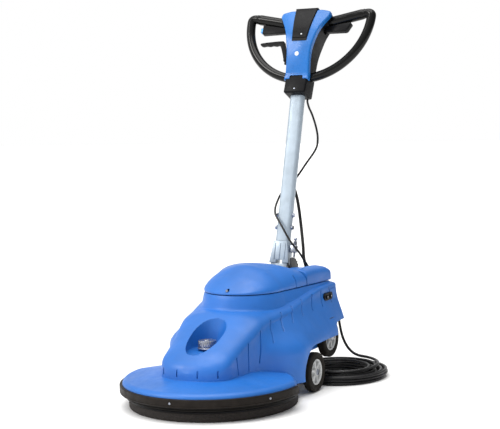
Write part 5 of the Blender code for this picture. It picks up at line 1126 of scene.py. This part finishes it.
def knob():
    spot = (0.0, KNOB_Y, KNOB_Z)
    ridges = 30
    outline = []
    for k in range(ridges * 4):
        a = math.pi * k / (ridges * 2)
        r = KNOB_R - 0.0005 + 0.0005 * math.cos(ridges * a)
        outline.append((r * math.cos(a), KNOB_Y + r * math.sin(a)))
    rings = []
    for shrink, up in ((0.0010, -0.0040), (0.0, -0.0030), (0.0, 0.0120), (0.0006, 0.0134), (0.0018, 0.0140)):
        rings.append([(x * (1 - shrink / KNOB_R), KNOB_Y + (y - KNOB_Y) * (1 - shrink / KNOB_R),
                       KNOB_Z + up) for x, y in outline])
    grip = loft(rings)
    top = [(0.0, 0.004), (KNOB_R - 0.0025, 0.004)] + arc(KNOB_R - 0.0045, KNOB_H - 0.0085, 0.002, 0, 90)
    top += [(KNOB_R - 0.0060, KNOB_H - 0.0065), (KNOB_R - 0.0072, KNOB_H - 0.0075), (0.010, KNOB_H - 0.0075)]
    top += [(0.0092, KNOB_H - 0.0040), (0.0082, KNOB_H - 0.0034), (0.0, KNOB_H - 0.0034)]
    flange = [(0.0, -0.0105), (KNOB_R + 0.001, -0.0105), (KNOB_R + 0.002, -0.0092), (KNOB_R + 0.0018, -0.0074),
              (KNOB_R - 0.001, -0.0052), (KNOB_R - 0.003, -0.0046), (KNOB_R - 0.003, -0.0035), (0.0, -0.0035)]
    stem = drum(0.0055, 0.110 - KNOB_Z, -0.008, "Z", spot, 0.0005, 24)
    whole = joined([grip, turned(top, 48, "Z", spot), turned(flange, 64, "Z", spot), stem])
    stands_for(finished("knob", whole, KNOB), "adjuster_knob")


def wheel(name, centre, sign):
    """Tyre with three tread rings, spoked rim and hub cap; sign is the side it faces."""
    half = WHEEL_W / 2
    section = [(RIM_R + GAP, -half + 0.003), (RIM_R + 0.004, -half + 0.0012),
               (WHEEL_R - 0.010, -half + 0.0002)]
    section += arc(WHEEL_R - 0.0075, -half + 0.0078, 0.0075, -85, 0, 8)
    for k in range(3):
        x = -0.0045 + 0.0045 * k
        section += [(WHEEL_R, x - 0.0011), (WHEEL_R - 0.0014, x - 0.0006), (WHEEL_R - 0.0014, x + 0.0006),
                    (WHEEL_R, x + 0.0011)]
    section += arc(WHEEL_R - 0.0075, half - 0.0078, 0.0075, 0, 85, 8)
    section += [(WHEEL_R - 0.010, half - 0.0002), (RIM_R + 0.004, half - 0.0012),
                (RIM_R + GAP, half - 0.003)]
    stands_for(finished(f"{name}_tread", turned(section, 72, "X", centre), TYRE), f"{name}_tyre")

    face = half - 0.0045
    ring = [(RIM_R - 0.0065, -half + 0.005), (RIM_R - 0.0005, -half + 0.004), (RIM_R, -half + 0.0045),
            (RIM_R, half - 0.0045), (RIM_R - 0.0008, half - 0.0036), (RIM_R - 0.0030, half - 0.0036),
            (RIM_R - 0.0055, half - 0.0052)]
    dish = [(0.0125, -0.0028), (RIM_R - 0.0060, -0.0028), (RIM_R - 0.0060, 0.0012), (0.0125, 0.0012)]
    hub = [(AXLE_R + GAP, -half + 0.002), (0.0125, -half + 0.002), (0.0125, half - 0.0030),
           (0.0113, half - 0.0015), (AXLE_R + GAP, half - 0.0015)]
    if sign < 0:
        dish = [(r, -x) for r, x in reversed(dish)]
    shapes = [turned(ring, 64, "X", centre), turned(dish, 64, "X", centre), turned(hub, 32, "X", centre)]
    for k in range(6):
        spoke = slab((-face, -0.0034, 0.0105), (face, 0.0034, RIM_R - 0.0040), 0.0012)
        turn = Matrix.Translation(centre) @ Matrix.Rotation(math.radians(60 * k + 15), 4, "X")
        shapes.append(moved(spoke, turn))
    stands_for(finished(f"{name}_hub", joined(shapes), RIM), f"{name}_rim")
    reach = half - 0.0012
    outline = [(0.0, -0.001), (0.0098, -0.001), (0.0098, 0.0006)]
    outline += arc(0.0070, 0.0004, 0.0026, 10, 90) + [(0.0, 0.0032)]
    cap = turned([(r, x + reach) for r, x in outline], 32, "X")
    turn = Matrix.Translation(centre) @ Matrix.Rotation(0.0 if sign > 0 else math.pi, 4, "Z")
    detail(finished(f"{name}_cap", moved(cap, turn), STEEL), f"{name}_rim")


def wheels():
    for pair, x, y, z in (("main", MAIN_X, MAIN_Y, MAIN_Z),
                          ("transport", TRANSPORT_X, TRANSPORT_Y, TRANSPORT_Z)):
        for side, sign in (("left", 1), ("right", -1)):
            wheel(f"{pair}_{side}", (sign * x, y, z), sign)


# ---------------------------------------------------------------- column and hinge

TUBE_W, TUBE_D, TUBE_START, TUBE_END, TUBE_WALL = 0.0505, 0.026, 0.100, 0.640, 0.0025
BOLTS_AT, NUT_HALF = (0.146, 0.188), 0.0068
CHEEK_X, PIN_R = 0.030, 0.007
LATCH_X, PLUNGER_R, SECTOR_R = 0.0450, 0.0040, 0.046


def oval_outline(width, depth, steps=8):
    radius = depth * 0.42
    outline = []
    for cx, cy, start in ((1, 1, 0), (-1, 1, 90), (-1, -1, 180), (1, -1, 270)):
        outline += arc(cx * (width / 2 - radius), cy * (depth / 2 - radius), radius, start, start + 90, steps)
    return outline


def column():
    """Oval tube, cross bolts, foot with its ribbed face, and the latch."""
    outer = oval_outline(TUBE_W, TUBE_D)
    inner = oval_outline(TUBE_W - 2 * TUBE_WALL, TUBE_D - 2 * TUBE_WALL)
    rings = [[(x, y, s) for x, y in outline] for outline, s in
             ((inner, TUBE_START), (outer, TUBE_START), (outer, TUBE_END), (inner, TUBE_END))]
    tube = finished("column", loft(rings, closed=True), SILVER, COLUMN)
    stands_for(tube, "column_tube")

    for index, at in enumerate(BOLTS_AT):
        shapes = [drum(0.0040, -TUBE_W / 2, TUBE_W / 2, "X", (0.0, 0.0, at), 0.0, 20)]
        for side in (-1, 1):
            base = side * (TUBE_W / 2 + GAP)
            low, high = sorted((base, base + side * 0.0012))
            shapes.append(drum(0.0084, low, high, "X", (0.0, 0.0, at), 0.0004, 32))
            nut = arc(0.0, at, NUT_HALF / math.cos(math.pi / 6), 12, 312, 5)
            shapes.append(prism(nut, *sorted((base + side * 0.0012, base + side * 0.0062))))
        stands_for(finished(f"bolt_{index + 1}", joined(shapes), CHROME, COLUMN), f"column_bolt_{index + 1}")

    half = CHEEK_X - 0.001
    barrel = [(-0.0165, -0.006), (-0.0125, -0.016), (0.0, -0.021), (0.0125, -0.016), (0.0165, -0.006),
              (0.0165, 0.062), (0.0130, 0.0985), (-0.0130, 0.0985), (-0.0165, 0.062)]
    foot = finished("foot", prism(barrel, -half, half), SILVER, COLUMN)
    cut_by(foot, slab((-0.012, -0.03, 0.022), (0.012, 0.03, 0.080), 0.004), COLUMN)
    cut_by(foot, drum(PIN_R + GAP, -0.05, 0.05, "X", (0.0, 0.0, 0.0), 0.0, 32), COLUMN)
    cut_by(foot, slab((-0.019, -0.006, 0.090), (0.019, 0.006, 0.205), 0.001), COLUMN, "UNION")
    stands_for(soften(settled(foot), 0.0014), "column_foot")
    face = [(-0.0245, 0.0985), (0.0245, 0.0985), (0.0300, 0.060), (0.0350, 0.024), (0.0120, 0.024),
            (0.0100, 0.034), (-0.0100, 0.034), (-0.0120, 0.024), (-0.0350, 0.024), (-0.0300, 0.060)]
    plate = finished("foot_plate", prism(face, -0.0196, -0.0158, "XZ"), SILVER, COLUMN)
    detail(soften(plate, 0.0012), "column_foot")
    ribs = [slab((x - 0.0016, -0.0216, 0.036), (x + 0.0016, -0.0190, 0.090), 0.0007, 2)
            for x in (-0.018, 0.0, 0.018)]
    detail(finished("foot_ribs", joined(ribs), SILVER, COLUMN), "column_foot")

    block = slab((half + GAP, -0.0085, 0.062), (LATCH_X + 0.008, 0.0085, 0.086), 0.0025, 4)
    guide = finished("plunger_guide", block, CHROME, COLUMN)
    cut_by(guide, drum(PLUNGER_R + GAP, 0.04, 0.12, "Z", (LATCH_X, 0.0, 0.0), 0.0, 32), COLUMN)
    stands_for(settled(guide), "latch_guide")
    ball = [(0.0062 * math.cos(a), 0.1075 + 0.0050 * math.sin(a)) for a in even(-1.0, 1.45, 10)]
    pin = [(0.0, SECTOR_R + 0.001), (PLUNGER_R - 0.001, SECTOR_R + 0.001), (PLUNGER_R, SECTOR_R + 0.002),
           (PLUNGER_R, 0.1005)]
    plunger = turned(pin + ball + [(0.0, 0.1125)], 28, "Z", (LATCH_X, 0.0, 0.0))
    stands_for(finished("plunger", plunger, CHROME, COLUMN), "lock_plunger")
    coils = []
    turns, steps = 5, 16
    for k in range(turns * steps + 1):
        a = 2 * math.pi * k / steps
        coils.append((LATCH_X + 0.0056 * math.cos(a), 0.0056 * math.sin(a),
                      0.0872 + 0.0120 * k / (turns * steps)))
    spring = finished("latch_spring", tube_along(coils, 0.0009, 8), STEEL, COLUMN)
    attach(spring, "handle")


# ---------------------------------------------------------------- head, handles and levers

LOOP_R, TUBE_R, GRIP_GROW = 0.226, 0.0157, 0.0024
LOOP_TOP, GRIP_IN_Z, GRIP_OUT_Z, GRIP_IN_X = 0.272, 0.258, 0.286, 0.085
GRIP_END_X, GRIP_END_Z = LOOP_R - 0.024, GRIP_OUT_Z - 0.003
COVER_FLANK = ((0.0445, 0.030), (0.0425, 0.075), (0.0440, 0.126), (0.0515, 0.168), (0.0640, 0.212),
               (0.0905, 0.262))
COVER_CORNER = ((0.0912, 0.268), (0.0905, 0.2745), (0.0880, 0.2800), (0.0820, 0.2830), (0.0700, 0.2866),
                (0.0560, 0.290))
COVER_FRONT, COVER_BACK, HOUSING_BACK = 0.036, 0.018, -0.034
BOW, BOW_SPAN = 0.022, (0.052, 0.292)
INSERT_LOW = 0.163
COLLAR_HALF, COLLAR_FRONT, COLLAR_LOW, COLLAR_TOP = 0.0400, 0.034, -0.018, 0.0505
TRIGGER_HALF = 0.0100
LEFT_TRIGGER = ((-0.0665, 0.2240), (-0.1720, 0.2214), (-0.1725, 0.2535), (-0.1690, 0.2550), (-0.0885, 0.2395),
                (-0.0665, 0.2375))
RIGHT_TRIGGER = ((0.0665, 0.2240), (0.0680, 0.2165), (0.1420, 0.2165), (0.1470, 0.2195), (0.1600, 0.2440),
                 (0.1560, 0.2500), (0.1200, 0.2450), (0.0885, 0.2390), (0.0665, 0.2375))
BUTTON_Z, BUTTON_HALF_Z, BUTTON_HALF_Y = 0.2365, 0.0090, 0.0075
BUTTON_OUT_X, BUTTON_IN_X, BUTTON_SEAT_X = -0.1815, -0.1685, -0.1640
LEVER_PIVOT = (-0.066, 0.118)
RELEASE_LEVER = ((-0.0590, 0.1150), (-0.0585, 0.1240), (-0.0780, 0.1760), (-0.0810, 0.1870), (-0.0880, 0.1915),
                 (-0.1680, 0.1868), (-0.1735, 0.1830), (-0.1710, 0.1775), (-0.1610, 0.1745), (-0.1490, 0.1775),
                 (-0.1370, 0.1745), (-0.1250, 0.1778), (-0.1130, 0.1745), (-0.1000, 0.1775), (-0.0920, 0.1700),
                 (-0.0745, 0.1235), (-0.0740, 0.1150), (-0.0700, 0.1100), (-0.0620, 0.1100))


def loop_path(steps):
    points = []
    for k in range(steps + 1):
        a = math.pi + math.pi * k / steps
        points.append((LOOP_R * math.cos(a), LOOP_TOP + LOOP_R * math.sin(a)))
    corner = [(LOOP_R - 0.001, LOOP_TOP + 0.006), (LOOP_R - 0.005, LOOP_TOP + 0.0105),
              (LOOP_R - 0.012, GRIP_OUT_Z - 0.0015)]
    right = corner + list(zip(even(GRIP_END_X, GRIP_IN_X, 5), even(GRIP_END_Z, GRIP_IN_Z, 5)))
    points += right + [(0.0, GRIP_IN_Z - 0.004)] + [(-x, z) for x, z in reversed(right)]
    return points


def eased(points, rounds=2):
    """Cut the corners of a closed outline."""
    for _ in range(rounds):
        points = [(a[0] + (b[0] - a[0]) * t, a[1] + (b[1] - a[1]) * t)
                  for a, b in zip(points, points[1:] + points[:1]) for t in (0.25, 0.75)]
    return points


def swept(points, radius, sides=28):
    size = radius if callable(radius) else (lambda x, z: radius)
    rings = []
    count = len(points)
    for k in range(count):
        (xa, za), (xb, zb) = points[k - 1], points[(k + 1) % count]
        along = Vector((xb - xa, 0.0, zb - za)).normalized()
        side = Vector((0.0, 1.0, 0.0))
        out = along.cross(side)
        centre = Vector((points[k][0], 0.0, points[k][1]))
        r = size(*points[k])
        rings.append([centre + r * (math.cos(a) * out + math.sin(a) * side)
                      for a in (2 * math.pi * s / sides for s in range(sides))])
    return loft(rings, closed=True)


def vest_outline(low):
    """Smooth outline of the cover, which starts at a foot of the given height."""
    spine = curve_through([(x, 0.0, z) for x, z in COVER_FLANK], 0.006)
    right = [(spine[0].x, low)] + [(p.x, p.z) for p in spine if p.z > low + 0.013]
    return mirrored(right + list(COVER_CORNER))


def shrunk(outline, inset):
    """The outline moved inwards along its own normals."""
    count = len(outline)
    area = sum(a[0] * b[1] - b[0] * a[1] for a, b in zip(outline, outline[1:] + outline[:1]))
    turn = -1.0 if area > 0 else 1.0
    points = []
    for k in range(count):
        (xa, za), (xb, zb) = outline[k - 1], outline[(k + 1) % count]
        length = max(math.hypot(xb - xa, zb - za), 1e-9)
        nx, nz = turn * (zb - za) / length, -turn * (xb - xa) / length
        points.append((outline[k][0] + nx * inset, outline[k][1] + nz * inset))
    return points


def vest(front, back, low, edge, grow=0.0):
    """Vest-shaped block between two depths, rounded at the front edge."""
    outline = shrunk(vest_outline(low), -grow)
    rings = [(0.0, back), (0.0, front - edge)]
    rings += [(edge * (1 - math.cos(a)), front - edge + edge * math.sin(a))
              for a in even(0.2, math.pi / 2, 5)]
    return loft([[(x, -depth, z) for x, z in shrunk(outline, inset)] for inset, depth in rings])


def bowed(bm):
    """Sliced across, then pushed forwards, most at mid height; what lies behind the handle's plane stays."""
    low, high = BOW_SPAN
    for z in even(low, high, 20):
        everything = bm.verts[:] + bm.edges[:] + bm.faces[:]
        bmesh.ops.bisect_plane(bm, geom=everything, plane_co=(0.0, 0.0, z), plane_no=(0.0, 0.0, 1.0))
    for vert in bm.verts:
        t = min(max((vert.co.z - low) / (high - low), 0.0), 1.0)
        vert.co.y -= BOW * math.sin(math.pi * t) * smooth_step(-vert.co.y, 0.0, COVER_BACK - GAP)
    return bm


def stud(radius, low, high, x, z, segments):
    """Small disc on the head's front, between two depths."""
    disc = drum(radius, low, high, "Y", (0.0, 0.0, 0.0), 0.0004, segments)
    return moved(disc, Matrix.Translation((x, 0.0, z)) @ Matrix.Rotation(math.pi, 4, "Z"))


def head():
    """Handle loop with its grips, collar, housing, cover and insert."""
    path = eased(loop_path(40))

    def bar(x, z):
        on_grip = smooth_step(abs(x), 0.080, 0.088) * (1.0 - smooth_step(abs(x), 0.194, 0.200))
        return TUBE_R + (GRIP_GROW * on_grip if z > 0.24 else 0.0)

    stands_for(finished("loop", swept(path, bar), GLOSS, HEAD, 60.0), "handle_loop")
    bands = []
    under, side_r, face_r = TUBE_R - 0.001, TUBE_R + 0.0006, TUBE_R + 0.0010
    lean = math.atan2(GRIP_END_Z - GRIP_IN_Z, GRIP_END_X - GRIP_IN_X)
    for side in (-1, 1):
        for at, wide in ((0.2010, 0.0030), (0.1945, 0.0016)):
            z = GRIP_IN_Z + (at - GRIP_IN_X) * math.tan(lean)
            band = turned([(under, -wide), (side_r, -wide), (face_r, -wide * 0.5), (face_r, wide * 0.5),
                           (side_r, wide), (under, wide)], 48, "X")
            turn = Matrix.Translation((side * at, 0.0, z)) @ Matrix.Rotation(-side * lean, 4, "Y")
            bands.append(moved(band, turn))
    detail(finished("grip_bands", joined(bands), GLOSS, HEAD), "handle_loop")

    seat = eased(loop_path(26))
    block = slab((-COLLAR_HALF, -COLLAR_FRONT, COLLAR_LOW), (COLLAR_HALF, COLLAR_FRONT, COLLAR_TOP), 0.006, 5)
    collar = finished("collar", block, BLACK, HEAD)
    cut_by(collar, swept(seat, TUBE_R + GAP, 20), HEAD)
    bore = Matrix.Rotation(HEAD_TILT - COLUMN_TILT, 4, "X")
    outline = oval_outline(TUBE_W + 2 * GAP, TUBE_D + 2 * GAP)
    cut_by(collar, prism(outline, -0.10, 0.026, "XY"), HEAD @ bore)
    stands_for(settled(collar), "head_collar")
    screw = stud(0.0030, COLLAR_FRONT - 0.001, COLLAR_FRONT + 0.0008, 0.0, -0.004, 28)
    detail(finished("collar_screw", screw, STEEL, HEAD), "head_collar")

    shell = vest(-HOUSING_BACK, -COVER_BACK + GAP, COLLAR_TOP + GAP, 0.006, -0.003)
    housing = finished("housing", bowed(moved(shell, Matrix.Diagonal((1.0, -1.0, 1.0, 1.0)))), BLACK, HEAD)
    cut_by(housing, swept(seat, TUBE_R + GAP, 20), HEAD)
    thick = TRIGGER_HALF + 0.0005
    slots = [slab((side * 0.0690 - 0.010, -thick, 0.2145), (side * 0.0690 + 0.012, thick, 0.2400))
             for side in (-1, 1)]
    cut_by(housing, joined(slots), HEAD)
    x, z = LEVER_PIVOT
    cut_by(housing, slab((x - 0.009, 0.0045, z - 0.011), (-0.035, 0.0115, z + 0.011), 0.002), HEAD, "UNION")
    cut_by(housing, drum(0.0035, -0.0085, 0.0080, "Y", (x, 0.0, z), 0.0005, 28), HEAD, "UNION")
    stands_for(settled(housing), "head_housing")

    cover = finished("cover", bowed(vest(COVER_FRONT, COVER_BACK, 0.030, 0.006)), COVER_BLUE, HEAD)
    cut_by(cover, swept(seat, TUBE_R + GAP, 20), HEAD)
    arch = [(-0.0275, 0.0), (0.0275, 0.0), (0.0240, 0.0415), (0.0200, 0.0445), (-0.0200, 0.0445),
            (-0.0240, 0.0415)]
    cut_by(cover, prism(arch, -0.06, 0.0, "XZ"), HEAD)
    clear = COLLAR_HALF + GAP
    cut_by(cover, slab((-clear, -COLLAR_FRONT - GAP, -0.03), (clear, 0.05, COLLAR_TOP + GAP), 0.004), HEAD)
    insert = [(0.0265, INSERT_LOW), (0.0415, 0.2955)]
    pocket = prism(mirrored([(x + GAP, z) for x, z in insert]), -0.06, -0.0250, "XZ")
    cut_by(cover, bowed(pocket), HEAD)
    cut_by(cover, slab((-0.024, -0.045, 0.0500), (0.024, -0.0350, 0.0508)), HEAD)
    stands_for(settled(cover), "front_cover")

    face = mirrored(insert)
    rings = [(0.0, 0.0253), (0.0, 0.0372), (0.0008, 0.0388), (0.0024, 0.0400)]
    block = loft([[(x, -depth, z) for x, z in shrunk(face, inset)] for inset, depth in rings])
    panel = finished("insert", bowed(block), INSERT, HEAD)
    ledge = slab((-0.05, -0.05, INSERT_LOW - 0.002), (0.05, -0.0372, INSERT_LOW + 0.0115))
    cut_by(panel, bowed(ledge), HEAD)
    stands_for(settled(panel), "cover_insert")
    lamp = stud(0.0028, 0.0395, 0.0408, 0.006, 0.186, 24)
    detail(finished("insert_lamp", bowed(lamp), DOT, HEAD), "cover_insert")
    badge = stud(0.0075, COVER_FRONT - 0.0005, COVER_FRONT + 0.0007, -0.0035, 0.117, 40)
    detail(finished("blank_badge", bowed(badge), DOT, HEAD), "front_cover")


def levers():
    left = finished("left_paddle", prism(LEFT_TRIGGER, -TRIGGER_HALF, TRIGGER_HALF, "XZ"), BLACK, HEAD)
    seat = slab((-0.20, -BUTTON_HALF_Y - GAP, BUTTON_Z - BUTTON_HALF_Z - GAP),
                (BUTTON_SEAT_X, BUTTON_HALF_Y + GAP, BUTTON_Z + BUTTON_HALF_Z + GAP))
    cut_by(left, seat, HEAD)
    stands_for(soften(settled(left), 0.0022), "trigger_left")
    right = finished("right_paddle", prism(RIGHT_TRIGGER, -TRIGGER_HALF, TRIGGER_HALF, "XZ"), BLACK, HEAD)
    stands_for(soften(right, 0.0024), "trigger_right")
    button = slab((BUTTON_OUT_X, -BUTTON_HALF_Y, BUTTON_Z - BUTTON_HALF_Z),
                  (BUTTON_IN_X, BUTTON_HALF_Y, BUTTON_Z + BUTTON_HALF_Z), 0.0028, 5)
    stands_for(finished("start_key", button, BUTTON_BLUE, HEAD), "safety_button")
    x, z = LEVER_PIVOT
    lever = finished("latch_lever", prism(eased(list(RELEASE_LEVER), 1), -0.0070, 0.0040, "XZ"), BLACK, HEAD)
    cut_by(lever, drum(0.0038, -0.02, 0.02, "Y", (x, 0.0, z), 0.0, 32), HEAD)
    stands_for(soften(settled(lever), 0.0018), "release_lever")


look()
studio()
repaint_nodes()
body()
lids()
deck()
knob()
wheels()
column()
head()
levers()
mains()
leads()
